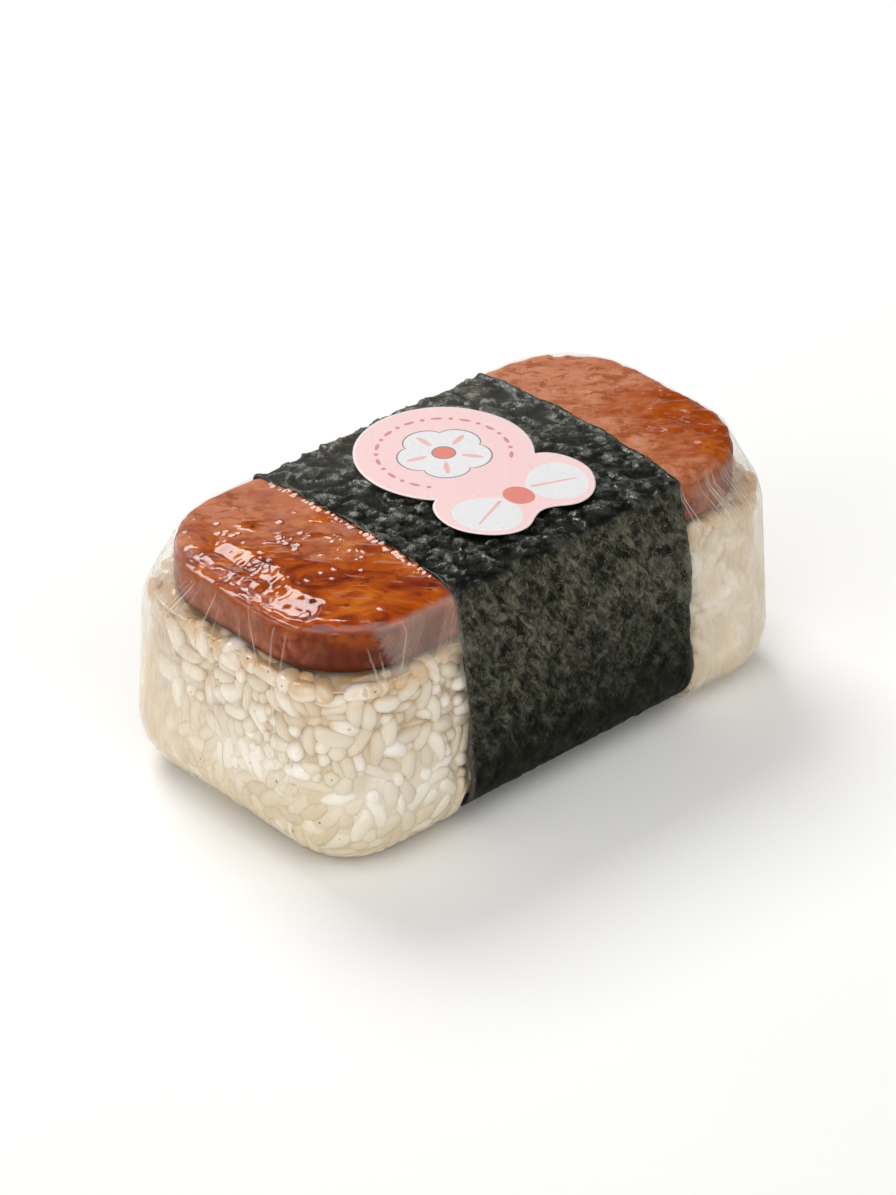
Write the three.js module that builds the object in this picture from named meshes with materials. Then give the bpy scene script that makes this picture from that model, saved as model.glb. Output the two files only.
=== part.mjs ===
// A wrapped musubi: a pressed block of rice with a glazed slice of luncheon meat on top, belted by a
// band of nori, wrapped in clear film and closed with a die-cut sticker.
//
// Millimetres, +Z up. X runs along the block and -Y is its near long side. The origin is the middle of
// the footprint, on the surface that the pack stands on.

import * as THREE from 'three';

// The pack, measured over the film.
const packLength = 104.7;
const packWidth = 59.4;
const packCorner = 13.8;
const shoulderHeight = 33.4;
const shoulderWidth = 55.2;
const footRounding = 9.3;

// The rim of the meat slice, measured over the film, and the flat top inside it.
const rimLength = 99.7;
const rimWidth = 51.3;
const rimCorner = 16.9;
const rimHeight = 43.2;
const topHeight = 45.25;
const topInset = 1.6;

// Sheets and the space between neighbours.
const filmThickness = 0.25;
const noriThickness = 0.4;
const gap = 0.3;

// The opening underneath, where the edges of the film are tucked in and don't meet.
const tuckLength = 60;
const tuckWidth = 18;
const tuckCorner = 8;

// The slice and the rice under it. Hollows are shallow dips in a pressed surface, and their pitch sets
// how far apart they lie.
const meatThickness = 8.7;
const meatRounding = 1.7;
const meatUnderRounding = 0.9;
const meatHollows = { depth: 0.35, pitch: 4.3 };
const riceRounding = 2.4;
const riceHollows = { depth: 0.7, pitch: 3.1 };

// How far the band draws the food in at the sides and presses the slice down, how far past the band
// that goes on, and the length along X over which it fades out.
const waistDepth = 0.7;
const topPress = 0.35;
const waistLead = 2.2;
const waistFade = 3;

// The band: its middle and width along X, how far its edges lie further out in the middle of the
// slice, and the overlap of its two ends under the block.
const bandCentre = 2.1;
const bandWidth = 50.4;
const bandSpread = { left: -1.4, right: 2.0 };
const bandOverlap = 20;
const bandColumns = 14;
const bandStep = 7;

// The sticker: a disc with a tab that is cut round two leaves. The tab joins the disc at an angle to
// each side of straight down, and the edge round the right leaf is given from the disc's centre.
const discCentre = new THREE.Vector2(3.7, 7.65);
const discRadius = 15.2;
const discArcs = 4;
const jointAngle = THREE.MathUtils.degToRad(47);
const leafEdge = {
  shoulder: new THREE.Vector2(14.2, -11.2),
  side: new THREE.Vector2(16.2, -17.4),
  tip: new THREE.Vector2(13.9, -21.4),
  corner: new THREE.Vector2(12.2, -24.6),
  under: new THREE.Vector2(9.2, -27.2),
  low: new THREE.Vector2(5.8, -26.7),
  inner: new THREE.Vector2(3.6, -26.3),
  lip: new THREE.Vector2(2.4, -24.4),
  dip: new THREE.Vector2(0, -24.3),
};
const stickerThickness = 0.3;

// Heights and half widths that follow from those.
const filmInset = filmThickness + gap;
const noriTop = topHeight - filmInset;
const meatTop = noriTop - noriThickness - gap + topPress;
const meatBottom = meatTop - meatThickness;
const riceTop = meatBottom - gap;
const outerFlapHeight = filmThickness + gap;
const innerFlapHeight = outerFlapHeight + noriThickness + gap;
const riceBottom = innerFlapHeight + noriThickness + gap;
const bandHalf = bandWidth / 2;

const smoothstep = (value, low, high) => THREE.MathUtils.smoothstep(value, low, high);
const mix = (from, to, share) => THREE.MathUtils.lerp(from, to, share);

// A rounded rectangle seen from above, counterclockwise, with the same number of points at any size.
function outline(length, width, corner, height) {
  const cornerSteps = 8;
  const sideSteps = [4, 12];
  const x = length / 2;
  const y = width / 2;
  const points = [];
  for (let quarter = 0; quarter < 4; quarter += 1) {
    const signX = quarter === 0 || quarter === 3 ? 1 : -1;
    const signY = quarter < 2 ? 1 : -1;
    const centre = new THREE.Vector2(signX * (x - corner), signY * (y - corner));
    for (let step = 0; step <= cornerSteps; step += 1) {
      const angle = (quarter + step / cornerSteps) * Math.PI / 2;
      points.push(new THREE.Vector3(
        centre.x + corner * Math.cos(angle),
        centre.y + corner * Math.sin(angle),
        height,
      ));
    }
    const alongX = quarter % 2 === 0;
    const steps = sideSteps[alongX ? 1 : 0];
    const last = points[points.length - 1];
    const span = alongX ? -2 * signX * (x - corner) : -2 * signY * (y - corner);
    for (let step = 1; step < steps; step += 1) {
      const move = span * step / steps;
      points.push(new THREE.Vector3(
        last.x + (alongX ? move : 0),
        last.y + (alongX ? 0 : move),
        height,
      ));
    }
  }
  return points;
}

// A closed body through a stack of equal rings, with a fan of triangles over each end.
function loft(rings) {
  const count = rings[0].length;
  const positions = [];
  for (const ring of rings) {
    for (const point of ring) {
      positions.push(point.x, point.y, point.z);
    }
  }
  const triangles = [];
  for (let level = 0; level + 1 < rings.length; level += 1) {
    for (let i = 0; i < count; i += 1) {
      const next = (i + 1) % count;
      const a = level * count + i;
      const b = level * count + next;
      triangles.push(a, b, b + count, a, b + count, a + count);
    }
  }
  const ends = [[rings[0], 0, true], [rings[rings.length - 1], (rings.length - 1) * count, false]];
  for (const [ring, first, flipped] of ends) {
    const hub = positions.length / 3;
    const middle = new THREE.Vector3();
    ring.forEach((point) => middle.addScaledVector(point, 1 / count));
    positions.push(middle.x, middle.y, middle.z);
    for (let i = 0; i < count; i += 1) {
      const next = (i + 1) % count;
      triangles.push(hub, first + (flipped ? next : i), first + (flipped ? i : next));
    }
  }
  return geometryFrom(positions, triangles);
}

// A closed sheet between two equal grids of points: outside[i][j] and inside[i][j].
function slab(outside, inside) {
  const rows = outside.length;
  const columns = outside[0].length;
  const positions = [];
  for (const grid of [outside, inside]) {
    for (const row of grid) {
      for (const point of row) {
        positions.push(point.x, point.y, point.z);
      }
    }
  }
  const out = (i, j) => i * columns + j;
  const into = (i, j) => rows * columns + i * columns + j;
  const triangles = [];
  const quad = (a, b, c, d) => triangles.push(a, b, c, a, c, d);
  for (let i = 0; i + 1 < rows; i += 1) {
    for (let j = 0; j + 1 < columns; j += 1) {
      quad(out(i, j), out(i, j + 1), out(i + 1, j + 1), out(i + 1, j));
      quad(into(i, j), into(i + 1, j), into(i + 1, j + 1), into(i, j + 1));
    }
    quad(out(i, 0), out(i + 1, 0), into(i + 1, 0), into(i, 0));
    quad(out(i, columns - 1), into(i, columns - 1), into(i + 1, columns - 1), out(i + 1, columns - 1));
  }
  for (let j = 0; j + 1 < columns; j += 1) {
    quad(out(0, j), into(0, j), into(0, j + 1), out(0, j + 1));
    quad(out(rows - 1, j), out(rows - 1, j + 1), into(rows - 1, j + 1), into(rows - 1, j));
  }
  return geometryFrom(positions, triangles);
}

function geometryFrom(positions, triangles) {
  const geometry = new THREE.BufferGeometry();
  geometry.setAttribute('position', new THREE.Float32BufferAttribute(positions, 3));
  geometry.setIndex(triangles);
  geometry.computeVertexNormals();
  return geometry;
}

// How deep the band presses into the food at x: 0 clear of it, 1 under it.
function waist(x) {
  const distance = Math.abs(x - bandCentre) - bandHalf - waistLead;
  return 1 - smoothstep(distance, 0, waistFade);
}

// Shallow hollows in a pressed surface, from 0 to 1.
function hollows(point, pitch) {
  const wave = Math.sin(point.x / pitch + 0.7) * Math.sin(point.y / pitch - 1.1)
    + Math.sin((point.x + point.y) / (2 * pitch) + point.z / pitch);
  return (wave + 2) / 4;
}

// Draws each point of a ring towards the block's middle, by the hollows and by the band's waist.
function settle(ring, relief) {
  return ring.map((point) => {
    const settled = point.clone();
    const inward = relief.depth * hollows(point, relief.pitch);
    const sideways = inward + waistDepth * waist(point.x);
    settled.x -= Math.sign(point.x) * Math.min(inward, Math.abs(point.x));
    settled.y -= Math.sign(point.y) * Math.min(sideways, Math.abs(point.y));
    return settled;
  });
}

// Rings for the quarter round between a wall that ends at the given height and the face above it, or
// below it where up is false. They are listed from the bottom up.
function roundOver(length, width, corner, height, radius, up, steps) {
  const rings = [];
  for (let step = 0; step <= steps; step += 1) {
    const angle = step / steps * Math.PI / 2;
    const inset = radius * (1 - Math.cos(angle));
    const rise = radius * Math.sin(angle);
    rings.push(outline(
      length - 2 * inset,
      width - 2 * inset,
      corner - inset,
      up ? height + rise : height - rise,
    ));
  }
  return up ? rings : rings.reverse();
}

// Rings that shrink a flat face towards its middle, so that it can carry relief.
function faceRings(length, width, corner, height, shares) {
  return shares.map((share) => outline(length * share, width * share, corner * share, height));
}

// The pack's outline at a height, between the foot's rounding and the rim, grown by a margin.
function packAt(height, margin) {
  const lower = Math.min(height, shoulderHeight);
  const bodyShare = (lower - footRounding) / (shoulderHeight - footRounding);
  const tentShare = Math.max(0, height - shoulderHeight) / (rimHeight - shoulderHeight);
  const bodyWidth = mix(packWidth, shoulderWidth, bodyShare);
  return [
    mix(packLength, rimLength, tentShare) + 2 * margin,
    mix(bodyWidth, rimWidth, tentShare) + 2 * margin,
    mix(packCorner, rimCorner, tentShare) + margin,
    height,
  ];
}

function riceGeometry() {
  const margin = -filmInset;
  const foot = footRounding - riceBottom;
  const rings = roundOver(...packAt(footRounding, margin), foot, false, 4);
  const shoulder = riceTop - riceRounding;
  for (const share of [0.25, 0.5, 0.75]) {
    rings.push(outline(...packAt(mix(footRounding, shoulder, share), margin)));
  }
  const [length, width, corner] = packAt(shoulder, margin);
  rings.push(...roundOver(length, width, corner, shoulder, riceRounding, true, 2));
  const flat = 2 * riceRounding;
  rings.push(...faceRings(length - flat, width - flat, corner - riceRounding, riceTop, [0.8, 0.5]));
  return loft(rings.map((ring) => settle(ring, riceHollows)));
}

function meatGeometry() {
  const length = rimLength - 2 * filmInset;
  const width = rimWidth - 2 * filmInset;
  const base = meatBottom + meatUnderRounding;
  const brow = meatTop - meatRounding;
  const flat = 2 * meatRounding;
  const walls = [
    ...roundOver(length, width, rimCorner, base, meatUnderRounding, false, 2),
    outline(length, width, rimCorner, mix(base, brow, 0.5)),
    ...roundOver(length, width, rimCorner, brow, meatRounding, true, 3),
  ].map((ring) => settle(ring, meatHollows));
  const face = faceRings(length - flat, width - flat, rimCorner - meatRounding, meatTop, [0.85, 0.62, 0.35])
    .map((ring) => settle(ring, meatHollows));
  for (const point of face.flat()) {
    point.z -= meatHollows.depth * hollows(point, meatHollows.pitch);
  }
  for (const point of [...walls, ...face].flat().filter(({ z }) => z > brow)) {
    point.z -= topPress * waist(point.x);
  }
  return loft([...walls, ...face]);
}

// The band's path round the block, seen from the +X end as (y, z): an open line whose corners are
// turned by quadratic curves. Each corner gives how far from it the curve begins. The inner end lies
// above the outer one under the block, so the two lower corners differ in height.
function bandPath() {
  const shoulderY = shoulderWidth / 2 - filmInset;
  const overlap = bandOverlap / 2;
  const footSlope = (packWidth - shoulderWidth) / 2 / (shoulderHeight - footRounding);
  const footY = (height) => shoulderY + footSlope * (shoulderHeight - height);
  const tentSlope = (shoulderWidth - rimWidth) / 2 / (rimHeight - shoulderHeight);
  const topY = shoulderY - tentSlope * (noriTop - shoulderHeight);
  const corners = [
    { y: overlap, z: innerFlapHeight, turn: 0, steps: 1 },
    { y: -footY(innerFlapHeight), z: innerFlapHeight, turn: 11, steps: 7 },
    { y: -shoulderY, z: shoulderHeight - gap, turn: 5, steps: 3 },
    { y: -topY, z: noriTop, turn: 2, steps: 4 },
    { y: topY, z: noriTop, turn: 2, steps: 4 },
    { y: shoulderY, z: shoulderHeight - gap, turn: 5, steps: 3 },
    { y: footY(outerFlapHeight), z: outerFlapHeight, turn: 12, steps: 7 },
    { y: -overlap, z: outerFlapHeight, turn: 0, steps: 1 },
  ].map((corner) => ({ ...corner, at: new THREE.Vector2(corner.y, corner.z) }));
  const points = [corners[0].at];
  for (let i = 1; i + 1 < corners.length; i += 1) {
    const { at, turn, steps } = corners[i];
    const enter = at.clone().add(corners[i - 1].at.clone().sub(at).setLength(turn));
    const leave = at.clone().add(corners[i + 1].at.clone().sub(at).setLength(turn));
    points.push(...straightSteps(points[points.length - 1], enter));
    points.push(...new THREE.QuadraticBezierCurve(enter, at, leave).getPoints(steps));
  }
  const end = corners[corners.length - 1].at;
  points.push(...straightSteps(points[points.length - 1], end), end);
  return points;
}

// Evenly spaced points on a straight stretch, without its ends.
function straightSteps(from, to) {
  const steps = Math.max(1, Math.round(from.distanceTo(to) / bandStep));
  const points = [];
  for (let step = 1; step < steps; step += 1) {
    points.push(from.clone().lerp(to, step / steps));
  }
  return points;
}

// The band's edge at (y, z): side is -1 at the left edge and 1 at the right one. It is cut a little
// unevenly, and slants to the right where it lies over the slice.
function bandEdge(side, y, z) {
  const onTop = smoothstep(z, rimHeight - 2, noriTop);
  const middle = onTop * Math.cos(y / rimWidth * Math.PI);
  const spread = (side < 0 ? bandSpread.left : bandSpread.right) * middle;
  const ripple = 0.3 * Math.sin(0.22 * z + 1.1 * side) + 0.2 * Math.sin(0.55 * y + 0.35 * z + side);
  return bandCentre + side * (bandHalf + spread + ripple);
}

function noriGeometry() {
  const path = bandPath();
  const grids = { outside: [], inside: [] };
  path.forEach((point, i) => {
    const before = path[Math.max(i - 1, 0)];
    const after = path[Math.min(i + 1, path.length - 1)];
    const along = after.clone().sub(before).normalize();
    const inner = new THREE.Vector2(point.x + along.y * noriThickness, point.y - along.x * noriThickness);
    const left = bandEdge(-1, point.x, point.y);
    const right = bandEdge(1, point.x, point.y);
    const rows = { outside: [], inside: [] };
    for (let j = 0; j < bandColumns; j += 1) {
      const x = mix(left, right, j / (bandColumns - 1));
      rows.outside.push(new THREE.Vector3(x, point.x, point.y));
      rows.inside.push(new THREE.Vector3(x, inner.x, inner.y));
    }
    grids.outside.push(rows.outside);
    grids.inside.push(rows.inside);
  });
  return slab(grids.outside, grids.inside);
}

// One side of the film, from the opening underneath up to the flat top.
function filmRings(margin) {
  const rings = [outline(tuckLength, tuckWidth, tuckCorner, -margin)];
  rings.push(...roundOver(...packAt(footRounding, margin), footRounding + margin, false, 5));
  for (const share of [0.5, 1]) {
    rings.push(outline(...packAt(mix(footRounding, shoulderHeight, share), margin)));
  }
  rings.push(outline(...packAt(mix(shoulderHeight, rimHeight, 0.5), margin)));
  rings.push(outline(...packAt(rimHeight, margin)));
  const [length, width, corner] = packAt(rimHeight, margin);
  const top = topHeight + margin;
  const browInset = topInset / 3;
  rings.push(outline(length - 2 * browInset, width - 2 * browInset, corner - browInset, top - browInset));
  rings.push(outline(length - 2 * topInset, width - 2 * topInset, corner - topInset, top));
  return rings;
}

function filmGeometry() {
  const inside = filmRings(-filmThickness).reverse();
  return loft([...inside, ...filmRings(0)]);
}

// The sticker's outline, counterclockwise: the disc in four arcs from one joint of the tab round to the
// other, then the edge round one leaf, the dip under the bud, and the edge round the other leaf.
function stickerShape() {
  const shape = new THREE.Shape();
  const start = jointAngle - Math.PI / 2;
  const sweep = (2 * Math.PI - 2 * jointAngle) / discArcs;
  for (let arc = 0; arc < discArcs; arc += 1) {
    const from = start + arc * sweep;
    shape.absarc(discCentre.x, discCentre.y, discRadius, from, from + sweep, false);
  }
  const joint = new THREE.Vector2(Math.sin(jointAngle), -Math.cos(jointAngle)).multiplyScalar(discRadius);
  const curves = [
    [joint, leafEdge.shoulder, leafEdge.side, leafEdge.tip],
    [leafEdge.tip, leafEdge.corner, leafEdge.under, leafEdge.low],
    [leafEdge.low, leafEdge.inner, leafEdge.lip, leafEdge.dip],
  ];
  const place = (side, point) => [discCentre.x + side * point.x, discCentre.y + point.y];
  for (const [, first, second, end] of curves) {
    shape.bezierCurveTo(...place(-1, first), ...place(-1, second), ...place(-1, end));
  }
  for (const [end, second, first] of curves.reverse()) {
    shape.bezierCurveTo(...place(1, first), ...place(1, second), ...place(1, end));
  }
  return shape;
}

function stickerGeometry() {
  const geometry = new THREE.ExtrudeGeometry(stickerShape(), {
    depth: stickerThickness,
    curveSegments: 6,
    bevelEnabled: false,
  });
  geometry.translate(0, 0, topHeight + gap);
  return geometry;
}

function piece(name, geometry, color, roughness, options = {}) {
  const material = new THREE.MeshStandardMaterial({ color, roughness, metalness: 0, ...options });
  const mesh = new THREE.Mesh(geometry, material);
  mesh.name = name;
  return mesh;
}

const musubi = new THREE.Group();
musubi.name = 'musubi';
musubi.add(
  piece('rice_block', riceGeometry(), 0xece4d2, 0.55),
  piece('meat_slice', meatGeometry(), 0xa4481f, 0.25),
  piece('nori_band', noriGeometry(), 0x1d241d, 0.6),
  piece('film_wrap', filmGeometry(), 0xf4f4f0, 0.08, { transparent: true, opacity: 0.15 }),
  piece('label_sticker', stickerGeometry(), 0xf3cfcf, 0.5),
);

export default musubi;
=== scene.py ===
import math

import bpy
import numpy as np
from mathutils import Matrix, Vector, bvhtree, geometry, noise


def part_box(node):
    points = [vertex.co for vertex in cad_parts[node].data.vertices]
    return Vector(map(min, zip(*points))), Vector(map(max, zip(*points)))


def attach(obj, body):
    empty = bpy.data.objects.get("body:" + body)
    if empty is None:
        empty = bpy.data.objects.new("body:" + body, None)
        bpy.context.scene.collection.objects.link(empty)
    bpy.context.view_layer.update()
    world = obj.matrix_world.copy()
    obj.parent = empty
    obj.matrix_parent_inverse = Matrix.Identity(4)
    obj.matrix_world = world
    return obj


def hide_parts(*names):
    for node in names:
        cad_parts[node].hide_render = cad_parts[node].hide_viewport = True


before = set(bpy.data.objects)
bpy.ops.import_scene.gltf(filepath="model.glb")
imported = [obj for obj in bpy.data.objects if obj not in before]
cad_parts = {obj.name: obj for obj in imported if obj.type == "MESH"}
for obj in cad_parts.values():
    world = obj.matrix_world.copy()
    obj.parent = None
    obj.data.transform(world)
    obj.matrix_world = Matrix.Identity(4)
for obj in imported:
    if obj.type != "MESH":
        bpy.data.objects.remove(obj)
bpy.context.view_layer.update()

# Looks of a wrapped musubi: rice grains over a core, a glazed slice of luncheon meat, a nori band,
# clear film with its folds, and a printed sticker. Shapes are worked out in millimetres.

MM = 0.001
SEED = 633
draw = np.random.default_rng(SEED)


def node_box(name):
    """Lowest and highest corner of a CAD node, in millimetres."""
    return [np.array(corner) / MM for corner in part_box(name)]


# The pack over its film. Length, width and height come from the frame, the rest are its roundings.
FILM_LOW, FILM_HIGH = node_box("film_wrap")
PACK_LENGTH, PACK_WIDTH, PACK_TOP = FILM_HIGH - FILM_LOW
PACK_CORNER = 13.8
FOOT_RADIUS = 9.3
SHOULDER_HEIGHT = 33.4
SHOULDER_WIDTH = PACK_WIDTH - 4.2
RIM_HEIGHT = PACK_TOP - 2.05
RIM_LENGTH = PACK_LENGTH - 5.0
RIM_WIDTH = PACK_WIDTH - 8.1
RIM_CORNER = 16.9

RICE_LOW, RICE_HIGH = node_box("rice_block")
MEAT_LOW, MEAT_HIGH = node_box("meat_slice")
NORI_LOW, NORI_HIGH = node_box("nori_band")
STICKER_LOW, STICKER_HIGH = node_box("label_sticker")

# The band along X, how far its edges lie further out in the middle of the slice, and its depth in the film.
BAND_CENTRE = 2.1
BAND_HALF = 25.2
BAND_SPREAD_LEFT = -1.4
BAND_SPREAD_RIGHT = 2.0
NORI_THICKNESS = 0.35
NORI_INSET = PACK_TOP - NORI_HIGH[2]

# Streaks run across the pack's top from its back left to its front right, along (STREAK_X, -STREAK_Y).
STREAK_X = 0.74
STREAK_Y = 0.67


# ---------------------------------------------------------------- numbers and meshes

def smooth(value, low, high):
    """0 below low, 1 above high, and a smooth rise between them."""
    share = np.clip((value - low) / (high - low), 0.0, 1.0)
    return share * share * (3.0 - 2.0 * share)


def mix(start, end, share):
    return start + (end - start) * share


def unit(vectors):
    """The vectors at a length of 1."""
    return vectors / np.maximum(np.linalg.norm(vectors, axis=-1, keepdims=True), 1e-9)


def turns(count):
    """Angles spread evenly over a full turn."""
    return np.arange(count) / count * 2 * math.pi


def on_circle(angles):
    """Points on a circle with a radius of 1."""
    return np.stack([np.cos(angles), np.sin(angles)], -1)


def noise_at(points, pitch, octaves=1, shift=0.0):
    """Noise from about -1 to 1 at each point, with the given pitch in millimetres."""
    places = (points / pitch + shift).tolist()
    if octaves == 1:
        return np.array([noise.noise(place) for place in places])
    return np.array([noise.fractal(place, 0.9, 2.1, octaves) for place in places])


def cells_at(points, pitch):
    """How far each point is from the border of its Voronoi cell, from 0 to about 1."""
    places = (points / pitch).tolist()
    nearest, second = np.array([noise.voronoi(place)[0][:2] for place in places]).T
    return second - nearest


def flakes(points, pitch, shift=0.0):
    """Facets at random tilts, one in each Voronoi cell, from about -0.5 to 0.5."""
    places = points / pitch + shift
    nearest = np.array([noise.voronoi(place)[1][0] for place in places.tolist()])
    tilt = np.sin(12.9 * nearest + 7.1 * nearest[:, [1, 2, 0]])
    return ((places - nearest) * tilt).sum(1)


def drawn_out(points, stretch):
    """Places on which noise runs in streaks across the pack's top, longer by the stretch."""
    x, y, z = points.T
    return np.column_stack([(STREAK_X * x - STREAK_Y * y) / stretch, STREAK_Y * x + STREAK_X * y, z])


def grid_faces(rows, columns, closed):
    """Quads over a grid of points. A closed grid joins its last column to its first."""
    row = np.arange(rows - 1)[:, None]
    column = np.arange(columns if closed else columns - 1)[None, :]
    here = row * columns + column
    beside = row * columns + (column + 1) % columns
    return np.stack([here, beside, beside + columns, here + columns], -1).reshape(-1, 4)


def grid_normals(grid, closed):
    """Unit normals of a grid of points, on the side from which its faces run counterclockwise."""
    across = np.roll(grid, -1, 1) - np.roll(grid, 1, 1) if closed else np.gradient(grid, axis=1)
    return unit(np.cross(across, np.gradient(grid, axis=0)))


def shifted(faces, first):
    """Faces whose corners count from a later point."""
    return [[corner + first for corner in face] for face in faces]


def link_object(name, data):
    made = bpy.data.objects.new(name, data)
    bpy.context.scene.collection.objects.link(made)
    return made


def make_piece(name, points, faces, materials, replaces=(), values=None):
    """A smooth mesh from points in millimetres, with values at its points, riding on the pack."""
    mesh = bpy.data.meshes.new(name)
    faces = faces.tolist() if isinstance(faces, np.ndarray) else faces
    mesh.from_pydata((points * MM).tolist(), [], faces)
    mesh.update()
    mesh.polygons.foreach_set("use_smooth", np.ones(len(mesh.polygons), bool))
    for key, numbers in (values or {}).items():
        kind, field = ("FLOAT", "value") if numbers.ndim == 1 else ("FLOAT_VECTOR", "vector")
        layer = mesh.attributes.new(key, kind, "POINT")
        layer.data.foreach_set(field, numbers.astype(np.float32).ravel())
    for material in materials:
        mesh.materials.append(material)
    piece = link_object(name, mesh)
    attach(piece, "root")
    for node in replaces:
        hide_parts(node)
    return piece


# ---------------------------------------------------------------- the pack's outline

class Ring:
    """A layout of points round a rounded rectangle, mirrored in both axes, from the +X side's middle."""

    def __init__(self, spacing):
        short, long = (round((side / 2 - PACK_CORNER) / spacing) for side in (PACK_WIDTH, PACK_LENGTH))
        turn = round(PACK_CORNER * math.pi / 2 / spacing)
        anchors = []
        angles = []
        for quarter, signs in enumerate([(1, 1), (-1, 1), (-1, -1), (1, -1)]):
            odd = quarter % 2
            first, last = (long, short) if odd else (short, long)
            towards = [(1, step / first) for step in range(first)]
            away = [(1 - step / last, 1) for step in range(last)]
            shares = np.array([*towards, *[(1, 1)] * turn, *away])
            anchors.append((shares[:, ::-1] if odd else shares) * signs)
            bend = [quarter + step / turn for step in range(turn)]
            angles += [quarter] * first + bend + [quarter + 1] * last
        self.anchors = np.vstack(anchors)
        self.angles = np.array(angles) * math.pi / 2
        self.count = len(angles)

    def at(self, length, width, corner, height):
        """The ring of points for a rounded rectangle of that size at that height."""
        straight = self.anchors * (np.array([length, width]) / 2 - corner)
        return np.column_stack([straight + on_circle(self.angles) * corner, np.full(self.count, height)])

    def cap(self, first):
        """Quads across the ring whose first point is given, from its +Y half to its -Y half."""
        steps = np.arange(self.count // 2)
        other = (self.count - steps) % self.count
        further = self.count - steps - 1
        quads = (np.stack([steps, steps + 1, further, other], -1) + first).tolist()
        return [quads[0][:3], *quads[1:-1], [quads[-1][k] for k in (0, 1, 3)]]

    def solid(self, rows):
        """Points, unit normals and faces of a stack of rings that is closed at both ends."""
        grid = np.array([self.at(*row) for row in rows])
        faces = grid_faces(len(rows), self.count, True).tolist()
        faces += self.cap((len(rows) - 1) * self.count) + [face[::-1] for face in self.cap(0)]
        return grid.reshape(-1, 3), grid_normals(grid, True).reshape(-1, 3), faces


def resample(rows, spacing):
    """Rows of numbers spread evenly along the line that they follow."""
    rows = np.array(rows, float)
    travelled = np.concatenate([[0], np.cumsum(np.linalg.norm(np.diff(rows, axis=0), axis=1))])
    stations = np.linspace(0, travelled[-1], int(math.ceil(travelled[-1] / spacing)) + 1)
    return np.column_stack([np.interp(stations, travelled, column) for column in rows.T])


def pack_row(height, margin):
    """Length, width, corner and height of the pack's outline between its foot's rounding and rim."""
    body = (min(height, SHOULDER_HEIGHT) - FOOT_RADIUS) / (SHOULDER_HEIGHT - FOOT_RADIUS)
    tent = max(0.0, height - SHOULDER_HEIGHT) / (RIM_HEIGHT - SHOULDER_HEIGHT)
    width = mix(PACK_WIDTH, SHOULDER_WIDTH, body)
    return (
        mix(PACK_LENGTH, RIM_LENGTH, tent) + 2 * margin,
        mix(width, RIM_WIDTH, tent) + 2 * margin,
        mix(PACK_CORNER, RIM_CORNER, tent) + margin,
        height,
    )


def quarter_rows(row, radius, drop, rising, steps):
    """Rows round the edge between a wall that ends with the given row and the face past it."""
    angle = np.linspace(0, math.pi / 2, steps + 1)
    inset = radius * (1 - np.cos(angle))
    rise = drop * np.sin(angle)
    rows = np.array(row) + np.column_stack([-2 * inset, -2 * inset, -inset, rise if rising else -rise])
    return (rows if rising else rows[::-1]).tolist()


def face_rows(row, spacing, ridge_width):
    """Rows from a face's edge in to a narrow strip along its middle."""
    length, width, corner, height = row
    reach = (width - ridge_width) / 2
    inset = spacing * np.arange(1, int(reach / spacing) + 1)
    corner = mix(corner, ridge_width / 2, inset / reach) * 0.999
    return np.column_stack([length - 2 * inset, width - 2 * inset, corner, height + 0 * inset]).tolist()


def closed_rows(rows, spacing, under, over):
    """Rows spread evenly up a wall, and over both its faces, each with its spacing and strip's width."""
    rows = resample(rows, spacing).tolist()
    return face_rows(rows[0], *under)[::-1] + rows + face_rows(rows[-1], *over)


def waist(x, fade, lead=0.0):
    """1 under the band, falling to 0 over a distance that begins lead outside its side edges."""
    distance = np.abs(x - BAND_CENTRE) - BAND_HALF - lead
    return 1 - smooth(distance, 0, fade)


def band_spread(side, y):
    """How much further out the band's left edge (side -1) or right one (side 1) lies over the slice."""
    return np.where(side < 0, BAND_SPREAD_LEFT, BAND_SPREAD_RIGHT) * np.cos(y / RIM_WIDTH * math.pi)


def edge_distance(across, along, radius):
    """Distance to a rounded edge between two surfaces, from the distances to each of them."""
    a = across + radius
    b = along + radius
    outside = np.hypot(np.maximum(a, 0), np.maximum(b, 0))
    return np.minimum(np.maximum(a, b), 0) + outside - radius


# The rice against its film: what stays free of the film, and how it draws in beside the band.
RICE_MARGIN = -0.3
RICE_TOP_RADIUS = 1.5
RICE_WAIST = 1.1
RICE_WAIST_FADE = 6.0
RICE_HOLLOWS = 1.0
HOLLOW_PITCH = 3.1


def hollows(points):
    """Shallow hollows in the pressed rice, from 0 to 1."""
    x, y, z = (points / HOLLOW_PITCH).T
    wave = np.sin(x + 0.7) * np.sin(y + 0.8 * z - 1.1) + np.sin((x + y) / 2 + 1.3 * z)
    return (wave + 2) / 4


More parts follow.
